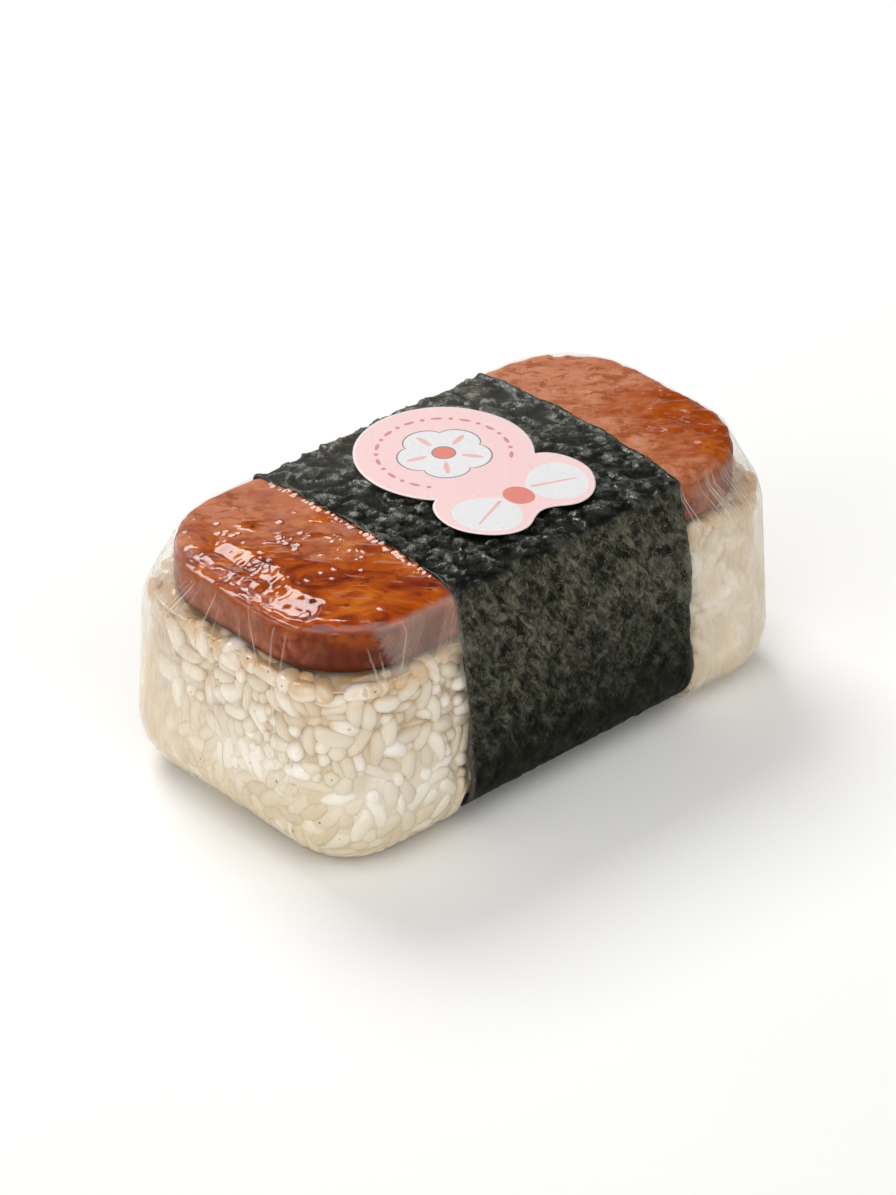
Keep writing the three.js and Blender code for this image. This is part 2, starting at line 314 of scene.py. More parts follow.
def rice_distance(points, lid=True):
    """Signed distance of points to the rice block's outline, with or without its top, negative inside."""
    x, y, z = points.T
    body = np.clip((z - FOOT_RADIUS) / (SHOULDER_HEIGHT - FOOT_RADIUS), 0, 1)
    loose = smooth(z, 7, 26) * (1 - waist(x, 1.0))
    drawn_in = np.maximum(waist(x, 0.6, -0.2), waist(x, RICE_WAIST_FADE) * smooth(z, 2, 10))
    drawn = RICE_MARGIN - RICE_WAIST * drawn_in - RICE_HOLLOWS * loose * hollows(points)
    half_width = mix(PACK_WIDTH, SHOULDER_WIDTH, body) / 2 + drawn
    half_length = PACK_LENGTH / 2 + RICE_MARGIN
    side = edge_distance(np.abs(x) - half_length, np.abs(y) - half_width, PACK_CORNER + RICE_MARGIN)
    floor = mix(-RICE_MARGIN, RICE_LOW[2], waist(x, 1.0, 0.3))
    low = edge_distance(side, floor - z, FOOT_RADIUS + RICE_MARGIN)
    return np.maximum(low, edge_distance(side, z - RICE_HIGH[2] - 0.1, RICE_TOP_RADIUS)) if lid else low


def rice_outward(points, lid=True):
    """Unit directions in which rice_distance grows fastest."""
    moves = 0.05 * np.eye(3)
    slope = [rice_distance(points + move, lid) - rice_distance(points - move, lid) for move in moves]
    return unit(np.stack(slope, -1))


# ---------------------------------------------------------------- node materials

def tint(code):
    """Linear colour from a hexadecimal sRGB one."""
    channels = [int(code[i:i + 2], 16) / 255 for i in (0, 2, 4)]
    linear = [c / 12.92 if c <= 0.04045 else ((c + 0.055) / 1.055) ** 2.4 for c in channels]
    return (*linear, 1.0)


class Shader:
    """The nodes of a material or world. Places and pitches are in millimetres."""

    def __init__(self, owner):
        self.owner = owner
        owner.use_nodes = True
        self.tree = owner.node_tree
        self.tree.nodes.clear()
        where = self.add("TexCoord", output="Object")
        self.place = self.add("VectorMath", {0: where, "Scale": 1 / MM}, operation="SCALE")
        self.x, self.y, self.z = self.add("SeparateXYZ", {0: self.place}).node.outputs

    def add(self, kind, inputs=None, output=0, **settings):
        """An output of a new node, whose inputs are linked, or set to values or hexadecimal colours."""
        node = self.tree.nodes.new("ShaderNode" + kind)
        for key, value in settings.items():
            setattr(node, key, value)
        for key, value in (inputs or {}).items():
            if isinstance(value, bpy.types.NodeSocket):
                self.tree.links.new(value, node.inputs[key])
            else:
                node.inputs[key].default_value = tint(value) if isinstance(value, str) else value
        return node.outputs[output]

    def calc(self, operation, a, b=0.0, clamp=False):
        return self.add("Math", {0: a, 1: b}, operation=operation, use_clamp=clamp)

    def times(self, a, b, clamp=False):
        return self.calc("MULTIPLY", a, b, clamp)

    def plus(self, a, b, clamp=False):
        return self.calc("ADD", a, b, clamp)

    def line(self, value, sharp, soft):
        """1 where a noise is within sharp of its middle, falling to 0 at soft: it draws winding lines."""
        return self.span(self.calc("ABSOLUTE", self.calc("SUBTRACT", value, 0.5)), sharp, soft, 1, 0)

    def span(self, value, low, high, to_low=0.0, to_high=1.0):
        """A smooth rise from to_low to to_high as the value goes from low to high."""
        inputs = {"Value": value, "From Min": low, "From Max": high, "To Min": to_low, "To Max": to_high}
        return self.add("MapRange", inputs, interpolation_type="SMOOTHSTEP")

    def turned(self, angle, axis):
        inputs = {"Vector": self.place, "Angle": angle}
        return self.add("VectorRotate", inputs, rotation_type=axis + "_AXIS")

    def noise(self, pitch, detail=2.0, rough=0.5, bend=0.0, vector=None, shift=(0, 0, 0)):
        """Noise from 0 to 1. The pitch is one number, or three for a stretched noise."""
        pitches = pitch if isinstance(pitch, tuple) else (pitch,) * 3
        moved = self.add("VectorMath", {0: vector or self.place, 1: shift}, operation="ADD")
        where = self.add("VectorMath", {0: moved, 1: tuple(1 / p for p in pitches)}, operation="MULTIPLY")
        inputs = {"Vector": where, "Scale": 1.0, "Detail": detail, "Roughness": rough, "Distortion": bend}
        return self.add("TexNoise", inputs)

    def blend(self, share, a, b, way="MIX"):
        return self.add("Mix", {0: share, 6: a, 7: b}, 2, data_type="RGBA", blend_type=way)

    def over(self, base, *layers):
        """Colours laid over a base, one after the other, each with its share."""
        for share, colour in layers:
            base = self.blend(share, base, colour)
        return base

    def ramp(self, value, colours):
        """Colours at their places from 0 to 1, and blends of them in between."""
        colour = self.add("ValToRGB", {0: value})
        elements = colour.node.color_ramp.elements
        while len(elements) < len(colours):
            elements.new(0.5)
        for element, (position, code) in zip(elements, colours.items()):
            element.position = position
            element.color = tint(code)
        return colour

    def stored(self, name, output="Fac"):
        """A value that make_piece stores at the points."""
        return self.add("Attribute", {}, output, attribute_name=name)

    def bump(self, height, depth):
        """A bump whose height of 1 stands for a depth in millimetres."""
        return self.add("Bump", {"Height": height, "Distance": depth * MM, "Strength": 1.0})

    def principled(self, **inputs):
        """Ends a material with this surface. Its inputs have _ in place of spaces."""
        named = {key.replace("_", " "): value for key, value in inputs.items()}
        return self.finish(self.add("BsdfPrincipled", named))

    def finish(self, surface, kind="OutputMaterial"):
        output = self.tree.nodes.new("ShaderNode" + kind)
        self.tree.links.new(surface, output.inputs["Surface"])
        return self.owner


def shader(name):
    return Shader(bpy.data.materials.new(name))


def rice_material():
    """Steamed rice: off-white and translucent, creamier low down, with painted shade as a darker tan in its
    gaps, stained by sauce.
    """
    s = shader("steamed_rice")
    tone = s.stored("tone")
    cream = s.ramp(tone, {0.0: "d2be99", 0.6: "dac9a8", 1.0: "e9ddc5"})
    white = s.ramp(tone, {0.0: "ddd0ba", 0.5: "e9dfcc", 1.0: "f8f3ea"})
    upper = s.plus(s.z, s.times(s.noise(9.0), 22.0))
    patch = s.span(s.noise(4.2, bend=0.4), 0.32, 0.66, 0.12, 0.8)
    spot = s.span(s.noise(2.2, shift=(31, 7, 3)), 0.7, 0.76)
    base = s.over(
        s.blend(s.span(upper, 16, 33), cream, white),
        (s.span(s.noise(1.4, 3, 0.6), 0.45, 0.75, 0, 0.3), "e7d6ba"),
        # Painted shade: a darker tan where the grains' seams and the core lie deep behind the outline.
        (s.span(s.stored("depth"), 0.45, 2.1, 0, 0.7), "c8a97e"),
        (s.times(s.span(s.z, 29.5, 34.6), patch), "cfa05c"),
        (s.times(spot, 0.55), "b98f56"),
    )
    return s.principled(
        Base_Color=base,
        Roughness=0.38,
        Subsurface_Weight=0.25,
        Subsurface_Radius=(1.0, 0.9, 0.75),
        Subsurface_Scale=0.0004,
        Coat_Weight=0.8,
        Coat_Roughness=0.1,
        Normal=s.bump(s.noise(0.6, 3, 0.6), 0.03),
    )


def speck_material():
    s = shader("browned_specks")
    base = s.ramp(s.noise(0.7), {0.3: "4a3420", 0.7: "8a6a44"})
    return s.principled(Base_Color=base, Roughness=0.6, Normal=s.bump(s.noise(0.2), 0.03))


def flesh_colour(s):
    """The slice's side: mauve-brown, mottled and flecked, with painted light making it paler towards the
    back and painted shade darkening the front of its left end.
    """
    return s.over(
        s.ramp(
            s.noise((2.4, 2.4, 3.2), 5, 0.68, 0.5),
            {0.32: "4d1706", 0.44: "783016", 0.56: "9a5030", 0.72: "b57557"},
        ),
        (s.times(s.span(s.noise(0.9, 3, 0.6, 0.2), 0.56, 0.66), 0.6), "5c200c"),
        # Painted light: paler pink on the sides where y is above -4.
        (s.span(s.y, -14, -4, 0, 0.3), "c08a6e"),
        # Painted shade: darker brown at the front of the left end, where y is below -13.
        (s.times(s.span(s.y, -19, -13, 0.85, 0), s.span(s.x, -30, -22, 1, 0)), "5a1f06"),
    )


def glaze_colour(s, turned):
    """The amber glaze, with darker pools, paler streaks of painted highlight, and duller towards the right
    end.
    """
    pools = s.span(s.noise((4.0, 2.6, 2.4), 3, 0.6, 0.4, turned, (5, 5, 0)), 0.58, 0.7)
    streaks = s.span(s.noise((5.0, 1.3, 1.3), 2, 0.5, 0.6, turned, (2, 9, 0)), 0.63, 0.68)
    return s.over(
        s.ramp(
            s.noise((7.0, 4.2, 3.6), 3, 0.55, 0.8, turned),
            {0.27: "591301", 0.42: "8f3302", 0.54: "ad4b03", 0.7: "c96c0e"},
        ),
        (s.times(pools, 0.8), "480e01"),
        # Painted highlight: pale pink streaks over the amber.
        (s.times(streaks, 0.6), "c68663"),
        (s.span(s.x, 12, 26, 0, 0.55), "a34a12"),
    )


def seared_colour(s, turned):
    """The griddled face where it has little glaze: pink and brown, with a painted sheen of paler pink
    towards the back, pitted away from its middle.
    """
    pitted = s.span(s.noise((2.6, 1.6, 1.6), 4, 0.65, 0.4, turned, (7, 0, 0)), 0.48, 0.62, 0, 0.7)
    return s.over(
        s.ramp(
            s.noise((5.5, 3.4, 3.0), 4, 0.6, 0.6, turned, (11, 0, 0)),
            {0.26: "7c2a0a", 0.4: "a9552a", 0.55: "c2815f", 0.75: "d29d82"},
        ),
        (s.span(s.x, -28, -10, 0.12, 0), "b0602a"),
        # Paler pink at the back of the face: partly the meat's own pink, partly a painted sheen standing in
        # for the backdrop's reflection.
        (s.times(s.span(s.x, -43, -36, 0, 0.55), s.span(s.y, 4, 14)), "cf9076"),
        (s.span(s.x, -46, -37, 0.5, 0), "9c4a18"),
        (s.span(s.x, 16, 28, 0, 0.35), "c27d59"),
        (s.times(pitted, s.span(s.calc("ABSOLUTE", s.x), 20, 34)), "8e421f"),
    )


def meat_material():
    """Luncheon meat under a clear, wet glaze, with drips down its brow and a lower edge darkened partly by
    browning and partly by painted shade.
    """
    s = shader("glazed_meat")
    glaze = s.stored("glaze")
    top = s.stored("top")
    turned = s.turned(0.735, "Z")
    drip = s.times(s.span(s.z, 38.5, 43.0), s.span(s.noise(3.4, 3, 0.6), 0.4, 0.6))
    rim = s.span(s.z, MEAT_LOW[2] + 0.2, MEAT_LOW[2] + 1.9, 1, 0)
    base = s.over(
        s.blend(top, flesh_colour(s), s.blend(glaze, seared_colour(s, turned), glaze_colour(s, turned))),
        (s.times(drip, s.calc("SUBTRACT", 1.0, top)), "9a4509"),
        # The dark lower edge: partly browning, partly painted shade under the overhang.
        (s.times(rim, 0.75), "3a1204"),
    )
    wet = s.times(top, glaze)
    grain = s.times(s.noise(0.5, 3, 0.6), s.span(wet, 0, 1, 1, 0.25))
    return s.principled(
        Base_Color=base,
        Roughness=0.5,
        Specular_IOR_Level=0.04,
        Subsurface_Weight=0.1,
        Subsurface_Radius=(1.0, 0.35, 0.15),
        Subsurface_Scale=0.001,
        Coat_Weight=s.times(s.span(wet, 0.25, 0.75, 0.14, 1.0), s.span(s.x, 0, 20, 1, 0.35)),
        Coat_Roughness=0.05,
        Coat_IOR=1.6,
        Normal=s.bump(grain, 0.14),
        Coat_Normal=s.bump(s.noise((2.4, 1.2, 1.2), 3, 0.55, 0.5, turned), 0.03),
    )


def nori_side_colour(s, leafy, broad):
    """The band's sides: leafy mottling in dark olive, greener in patches."""
    side = s.ramp(
        s.plus(s.times(leafy, 0.72), s.times(broad, 0.28)),
        {0.38: "0b0b08", 0.45: "25251e", 0.505: "3a3a31", 0.56: "4d4d43", 0.65: "6e6d5c"},
    )
    greenish = s.span(s.noise(6.0, shift=(0, 0, 33)), 0.45, 0.65, 0, 0.3)
    return s.blend(greenish, side, s.blend(1.0, side, "b9c48c", "MULTIPLY"))


def nori_top_colour(s, crest):
    """The band's top: olive curls as painted light on its ridges, near-black painted shade between them,
    and painted shade near the fold.
    """
    curled = s.noise(1.7, 3, 0.6, 0.9, shift=(8, 0, 0))
    olive = s.ramp(curled, {0.4: "0e100b", 0.53: "303429", 0.64: "717260"})
    # Painted light and shade: the ridges take the olive colours and the valleys go near black, following
    # the relief's crest.
    top = s.blend(s.span(crest, 0.5, 0.94), "020201", olive)
    # Painted shade: darker towards the fold at the front, where y is below 4.
    return s.blend(s.span(s.y, -14, 4, 0.55, 0), top, "030302")


def nori_material():
    """Nori: a mottled, leafy sheet on its sides, with painted shade darkening them towards the bottom, and
    nearly black with a waxy shine on top.
    """
    s = shader("nori_sheet")
    face = s.stored("face")
    crest = s.stored("crest")
    leafy = s.noise((1.4, 1.4, 3.2), 4, 0.52, 1.3, s.turned(0.6, "Y"))
    broad = s.noise((3.2, 3.2, 4.2), 3, 0.55, 0.6, shift=(60, 3, 0))
    base = s.blend(face, nori_side_colour(s, leafy, broad), nori_top_colour(s, crest))
    for turn, shift, share in ((0.5, (0, 0, 0), 0.75), (-0.8, (40, 0, 9), 0.65)):
        strokes = s.noise((0.8, 1.1, 2.8), 1, 0.5, 1.6, s.turned(turn, "Y"), shift)
        patchy = s.span(s.noise(2.0, shift=shift), 0.48, 0.58, 0, share)
        shown = s.times(s.times(s.line(strokes, 0.012, 0.04), patchy), s.span(face, 0, 1, 1, 0.12))
        base = s.over(base, (shown, "7d7a66"), (s.times(s.line(strokes, 0.06, 0.1), 0.22), "0a0b07"))
    # Painted shade: the sides go near black towards the bottom of the band.
    base = s.blend(s.span(s.plus(s.z, s.times(broad, 20.0)), 14, 40, 0.95, 0), base, "040502")
    curls = s.line(s.noise(1.7, bend=0.8, shift=(3, 3, 3)), 0.012, 0.04)
    curls = s.times(curls, s.span(s.noise(3.5, 1), 0.45, 0.55))
    wax = s.plus(s.span(s.y, -15, 20, 0.35, 0.45), s.times(curls, 0.8), clamp=True)
    wax = s.times(wax, s.span(face, 0, 1, 0.03, 1))
    return s.principled(
        Base_Color=base,
        Roughness=0.5,
        Specular_IOR_Level=s.span(face, 0, 1, 0.05, 0.1),
        Specular_Tint=(0.86, 0.9, 0.74, 1.0),
        Coat_Weight=s.times(wax, s.span(crest, 0, 0.6, 0.15, 1)),
        Coat_Roughness=0.07,
        Normal=s.bump(s.plus(s.noise(0.8, 4, 0.65, 0.8), s.times(leafy, 1.6)), 0.12),
        Coat_Normal=s.bump(s.noise(0.7, 3, 0.6, 0.8), 0.1),
    )


def film_material(name):
    """Clear film: mirror-like at a glance, and milky in soft streaks where it lies in folds."""
    s = shader(name)
    wrap = s.stored("wrap", "Vector")
    lines = s.noise((1.5, 1.5, 18), 3, 0.55, 0.4, wrap)
    broad = s.noise((5.5, 5.5, 17), 3, 0.55, 0.5, wrap, (50, 0, 0))
    streak = s.plus(s.span(lines, 0.45, 0.75, 0, 0.25), s.span(broad, 0.4, 0.65, 0, 0.7))
    milk = s.times(s.stored("haze"), s.plus(0.42, s.times(streak, 0.45)), clamp=True)
    clear = s.add("BsdfTransparent", {"Color": (1, 1, 1, 1)})
    ripple = s.bump(s.noise((1.8, 1.8, 24), vector=wrap, shift=(9, 0, 0)), 0.05)
    gloss = s.add("BsdfGlossy", {"Color": (1, 1, 1, 1), "Roughness": 0.07, "Normal": ripple})
    shine = s.times(s.add("Fresnel", {"IOR": 1.4}), s.stored("shine"))
    sheet = s.add("MixShader", {0: shine, 1: clear, 2: gloss})
    cream = s.blend(s.span(broad, 0.4, 0.65), "fffcf5", "faeedb")
    lit = s.add("BsdfDiffuse", {"Color": cream})
    through = s.add("BsdfTranslucent", {"Color": cream})
    veil = s.add("MixShader", {0: 0.45, 1: lit, 2: through})
    return s.finish(s.add("MixShader", {0: milk, 1: sheet, 2: veil}))


def paper_material(name, code):
    """Coated paper: an even print with faint fibres and mottling."""
    s = shader(name)
    darker = tuple(0.9 * channel for channel in tint(code)[:3]) + (1.0,)
    fibre = s.noise((0.3, 1.6, 0.3), 3, 0.6, 0.5)
    return s.principled(
        Base_Color=s.blend(s.span(s.noise(0.9, 4, 0.6), 0.4, 0.75, 0, 0.6), code, darker),
        Roughness=s.span(fibre, 0.3, 0.7, 0.42, 0.55),
        Normal=s.bump(fibre, 0.012),
    )


# ---------------------------------------------------------------- rice

GRAIN_ROUND = 10
GRAIN_ALONG = 9
GRAIN_LENGTHS = (4.8, 7.0)
GRAIN_RADII = (1.35, 1.7)
GRAINS_LEFT = 1030
GRAINS_RIGHT = 980
SPECKS = 90
CLOSENESS = 0.77
MOST_MOVE = 0.8
SETTLE_STEPS = 60
PRESS = 0.72
HEAP_DEPTH = 4.4
UNDER_BAND = 3.0
PRESS_ROUNDING = 0.45
SINK = 2.0
SEAM_DEPTH = 0.7
SEAM_SOFTENING = 4
MOST_GAP = 1.5
CORE_SPACING = 0.65


def looseness(points):
    """How freely grains stand: near 0 where the film presses them, 1 under the slice and by the band."""
    x, _, z = points.T
    return np.clip(0.05 + 0.95 * smooth(z, 11, 27) + 0.7 * waist(x, 9.0) * smooth(z, 4, 11), 0, 1)


def heap_start(side):
    """How far out a heap begins, under the band's edge."""
    return BAND_HALF - UNDER_BAND + side * BAND_CENTRE


def grain_ends(centres, heading, length, radius):
    """The middles of both rounded ends of each grain."""
    half = unit(heading) * (length / 2 - radius)[:, None]
    return np.stack([centres - half, centres + half], 1)


def seed_grains(side, count):
    """Grains at random places in one heap's skin, lying roughly along its surface."""
    low = (heap_start(side), -PACK_WIDTH / 2, 0)
    high = (PACK_LENGTH / 2, PACK_WIDTH / 2, RICE_HIGH[2])
    centres = np.empty((0, 3))
    while len(centres) < count:
        tries = draw.uniform(low, high, (4000, 3)) * (side, 1, 1)
        inside = (rice_distance(tries, lid=False) > -HEAP_DEPTH) & (rice_distance(tries) < -1.2)
        centres = np.vstack([centres, tries[inside]])
    centres = centres[:count]
    loose = looseness(centres)
    length = draw.uniform(*GRAIN_LENGTHS, count)
    radius = draw.uniform(*GRAIN_RADII, count)
    sink = SINK * draw.uniform(0, 1, count) * loose
    heading = draw.normal(size=(count, 3))
    outward = rice_outward(centres, lid=False)
    lift = draw.normal(0, 1, count) * (0.2 + 0.7 * loose)
    heading = unit(heading - (heading * outward).sum(1, keepdims=True) * outward)
    heading = heading + lift[:, None] * outward
    return grain_ends(centres, heading, length, radius), length, radius, sink


def closest_shares(start_a, run_a, start_b, run_b):
    """Where two sets of segments come closest, as shares along each of them."""
    gap = start_a - start_b
    pairs = ((run_a, run_a), (run_b, run_b), (run_a, run_b), (run_a, gap), (run_b, gap))
    aa, bb, ab, ag, bg = ((first * second).sum(1) for first, second in pairs)
    share_a = np.clip((ab * bg - ag * bb) / np.maximum(aa * bb - ab * ab, 1e-6), 0, 1)
    share_b = np.clip((ab * share_a + bg) / bb, 0, 1)
    share_a = np.clip((ab * share_b - ag) / aa, 0, 1)
    return share_a, share_b


def neighbours(ends, radius):
    """Pairs of grains near each other: who they are, the shares where they come closest, and the gap."""
    centres = ends.mean(1)
    run = ends[:, 1] - ends[:, 0]
    reach = np.linalg.norm(run, axis=1) / 2 + 1.2 * radius
    apart = np.linalg.norm(centres[:, None] - centres[None], axis=2)
    a, b = np.nonzero(np.triu(apart < reach[:, None] + reach[None], 1))
    share_a, share_b = closest_shares(ends[a, 0], run[a], ends[b, 0], run[b])
    gap = ends[a, 0] + run[a] * share_a[:, None] - ends[b, 0] - run[b] * share_b[:, None]
    return a, b, share_a, share_b, gap


def push_apart(ends, radius):
    """One step that moves grains which overlap away from each other."""
    a, b, share_a, share_b, gap = neighbours(ends, radius)
    distance = np.maximum(np.linalg.norm(gap, axis=1), 1e-4)
    overlap = np.maximum(CLOSENESS * (radius[a] + radius[b]) - distance, 0)
    move = gap / distance[:, None] * (0.25 * overlap)[:, None]
    change = np.zeros_like(ends)
    for grain, share, sign in ((a, share_a, 1), (b, share_b, -1)):
        np.add.at(change[:, 0], grain, sign * move * (2 * (1 - share))[:, None])
        np.add.at(change[:, 1], grain, sign * move * (2 * share)[:, None])
    size = np.linalg.norm(change, axis=2, keepdims=True)
    return ends + change * np.minimum(1.0, MOST_MOVE / np.maximum(size, 1e-6))


def keep_in_heap(ends, radius, sink, side):
    """Moves the ends of grains back inside the outline, the skin's depth and the heap's end."""
    flat = ends.reshape(-1, 3)
    press = PRESS + 0.4 * looseness(flat) * (1 - smooth(flat[:, 2], 30, 33))
    out = rice_distance(flat) + press * np.repeat(radius, 2) + np.repeat(sink, 2)
    flat = flat - rice_outward(flat) * np.maximum(out, 0)[:, None]
    deep = -HEAP_DEPTH - rice_distance(flat, lid=False)
    flat = flat + rice_outward(flat, lid=False) * np.maximum(deep, 0)[:, None]
    flat[:, 0] = side * np.maximum(side * flat[:, 0], heap_start(side))
    return flat.reshape(-1, 2, 3)


def settle_grains(ends, length, radius, sink, side):
    """Lets a heap's grains find room side by side, as real ones do when they are pressed."""
    for _ in range(SETTLE_STEPS):
        ends = keep_in_heap(push_apart(ends, radius), radius, sink, side)
        ends = grain_ends(ends.mean(1), ends[:, 1] - ends[:, 0], length, radius)
    return ends


def unit_grain():
    """Points and faces of one plump grain, a unit long each way from its middle."""
    along = np.linspace(-math.pi / 2, math.pi / 2, GRAIN_ALONG + 1)[1:-1]
    fullness = 2 / 2.2
    x = np.sign(np.sin(along)) * np.abs(np.sin(along)) ** fullness
    girth = (np.cos(along) ** fullness)[:, None, None] * on_circle(turns(GRAIN_ROUND))
    rings = np.column_stack([np.repeat(x, GRAIN_ROUND), girth.reshape(-1, 2)])
    faces = grid_faces(len(along), GRAIN_ROUND, True).tolist()
    tail = len(rings)
    last = tail - GRAIN_ROUND
    for i in range(GRAIN_ROUND):
        after = (i + 1) % GRAIN_ROUND
        faces += [(tail, after, i), (tail + 1, last + i, last + after)]
    return np.vstack([rings, [[-1, 0, 0], [1, 0, 0]]]), faces


def soft_floor(value, rounding):
    """The value where it is well above 0, and near 0 below that, with a rounded turn."""
    return (value + np.sqrt(value * value + rounding * rounding)) / 2


def grain_meshes(ends, length, radius):
    """Every grain of a heap as one set of points and faces, with a tone and a depth for each point."""
    shape, faces = unit_grain()
    count = len(length)
    length = length[:, None]
    radius = radius[:, None]
    centre = ends.mean(1)
    axis = unit(ends[:, 1] - ends[:, 0])
    side = unit(np.cross(axis, rice_outward(centre, lid=False)))
    up = np.cross(side, axis)
    taper = draw.uniform(-0.16, 0.16, (count, 1))
    bow = draw.normal(0, 0.16, (count, 1))
    lump = draw.uniform(0, 2 * math.pi, (count, 2))
    wide = radius * draw.uniform(1.05, 1.25, (count, 1))
    thick = radius * draw.uniform(1.02, 1.16, (count, 1))
    x, y, z = shape.T
    swell = 1 + taper * x + 0.06 * np.sin(3.1 * x + lump[:, :1])
    swell += 0.05 * np.sin(2.3 * x + 2 * y + lump[:, 1:])
    swell -= 0.22 * np.exp(-((x - 0.8) / 0.3) ** 2) * np.maximum(y, 0)
    points = centre[:, None] + (1.1 * length / 2 * x)[..., None] * axis[:, None]
    points = points + (wide * y * swell + bow * length * (1 - x * x) * 0.4)[..., None] * side[:, None]
    points = (points + (thick * z * swell)[..., None] * up[:, None]).reshape(-1, 3)
    for rounding in (PRESS_ROUNDING, 0.0):
        out = soft_floor(rice_distance(points), rounding)
        points -= rice_outward(points) * out[:, None]
    every = [face for grain in range(count) for face in shifted(faces, grain * len(shape))]
    tone = np.repeat(draw.uniform(0, 1, count), len(shape))
    return points, every, {"tone": tone, "depth": -rice_distance(points)}


def add_rice_heap(name, side, count, material, replaces):
    """The grains at one end of the pack, as one piece."""
    ends, length, radius, sink = seed_grains(side, count)
    ends = settle_grains(ends, length, radius, sink, side)
    points, faces, values = grain_meshes(ends, length, radius)
    make_piece(name, points, faces, [material], replaces, values)
    return points, faces, values["depth"]


def softened(field, passes):
    """A closed grid of numbers, each drawn towards its neighbours."""
    for _ in range(passes):
        field = (np.roll(field, 1, 1) + 2 * field + np.roll(field, -1, 1)) / 4
        above = np.vstack([field[:1], field[:-1]])
        below = np.vstack([field[1:], field[-1:]])
        field = (above + 2 * field + below) / 4
    return field


def gap_depths(points, outward, heaps):
    """How far behind each point of the outline the first grain lies."""
    sizes = np.cumsum([0] + [len(heap[0]) for heap in heaps])
    corners = np.vstack([heap[0] for heap in heaps]).tolist()
    faces = [face for heap, first in zip(heaps, sizes) for face in shifted(heap[1], first)]
    tree = bvhtree.BVHTree.FromPolygons(corners, faces)
    depths = np.full(len(points), MOST_GAP)
    lead = 0.3
    for i, (start, way) in enumerate(zip((points + lead * outward).tolist(), (-outward).tolist())):
        distance = tree.ray_cast(start, way, MOST_GAP)[3]
        if distance is not None:
            depths[i] = max(0.0, distance - lead)
    return depths


def add_rice_core(material, heaps):
    """The rice behind the grains: it fills their seams, and comes out to the outline under the band."""
    ring = Ring(CORE_SPACING)
    foot = FOOT_RADIUS - 0.5
    rows = quarter_rows(pack_row(FOOT_RADIUS, RICE_MARGIN), foot, foot, False, 8)
    rows += [pack_row(height, RICE_MARGIN) for height in (20, 30)]
    rows += quarter_rows(pack_row(RICE_HIGH[2] - 2.4, RICE_MARGIN), 2.3, 2.3, True, 4)
    rows = closed_rows(rows, CORE_SPACING, (1.6, 6.0), (1.6, 6.0))
    flat, _, faces = ring.solid(rows)
    for _ in range(2):
        flat = flat - rice_outward(flat) * rice_distance(flat)[:, None]
    outward = rice_outward(flat)
    depths = gap_depths(flat, outward, heaps).reshape(len(rows), ring.count)
    depths = softened(depths, SEAM_SOFTENING).ravel()
    fused = 0.4 * depths + 0.24 + 0.2 * noise_at(flat, 3.6, 2, 50.0)
    sunk = mix(fused, depths + SEAM_DEPTH, looseness(flat))
    sunk = mix(sunk, 0.0, waist(flat[:, 0], 0.8, -3.5))
    sunk = mix(sunk, np.minimum(sunk, 0.9), smooth(flat[:, 2], 34.4, 35.3))
    flat = flat - outward * sunk[:, None]
    flat[:, 2] = np.clip(flat[:, 2], RICE_LOW[2], RICE_HIGH[2])
    tone = np.clip(0.5 + 0.6 * noise_at(flat, 4.0, 1, 8.0), 0, 1)
    make_piece("rice_core", flat, faces, [material], [], {"tone": tone, "depth": sunk})


def add_specks(skin, count):
    """Browned flecks pressed onto the grains, at random places of the heaps' skin."""
    shape = np.array([(0, 0, 1), (1, 0, 0), (0.2, 0.9, 0), (-0.9, 0.3, 0), (-0.3, -1, 0), (0, 0, -1)])
    corners = [(0, 1, 2), (0, 2, 3), (0, 3, 4), (0, 4, 1), (5, 2, 1), (5, 3, 2), (5, 4, 3), (5, 1, 4)]
    points = []
    faces = []
    for place in skin[draw.choice(len(skin), count, False)]:
        outward = rice_outward(place[None])[0]
        across = unit(np.cross(outward, draw.normal(size=3)))
        size = draw.uniform(0.14, 0.3) * np.array([1.0, draw.uniform(0.5, 1.0), 0.4])
        axes = np.stack([across, np.cross(outward, across), outward])
        faces += shifted(corners, len(points))
        points += list(place + (shape * size * draw.uniform(0.8, 1.2, shape.shape)) @ axes)
    make_piece("rice_specks", np.array(points), faces, [speck_material()])


def add_rice():
    grains = rice_material()
    left = add_rice_heap("rice_grains_left", -1, GRAINS_LEFT, grains, ["rice_block"])
    right = add_rice_heap("rice_grains_right", 1, GRAINS_RIGHT, grains, [])
    add_rice_core(grains, [left, right])
    skin = [points[depth < 0.12 + 0.6 * looseness(points)] for points, _, depth in (left, right)]
    add_specks(np.vstack(skin), SPECKS)


# ---------------------------------------------------------------- meat

MEAT_MARGIN = -0.55
BROW_INSET = 3.0
BROW_DROP = 2.5
MOST_RELIEF = 0.27
MIRROR_SLOPE = 0.34
MEAT_SPACING = 0.4
BROW_X = -47.0
RIDGE_X = -40.4


def slice_row(height, margin):
    """Length, width, corner and height of the slice's outline."""
    return RIM_LENGTH + 2 * margin, RIM_WIDTH + 2 * margin, RIM_CORNER, height


def rim_inset(points):
    """How far in from the slice's outline each point lies, seen from above."""
    length, width, corner, _ = slice_row(0, MEAT_MARGIN)
    x, y, _ = np.abs(points).T
    return -edge_distance(x - length / 2, y - width / 2, corner)


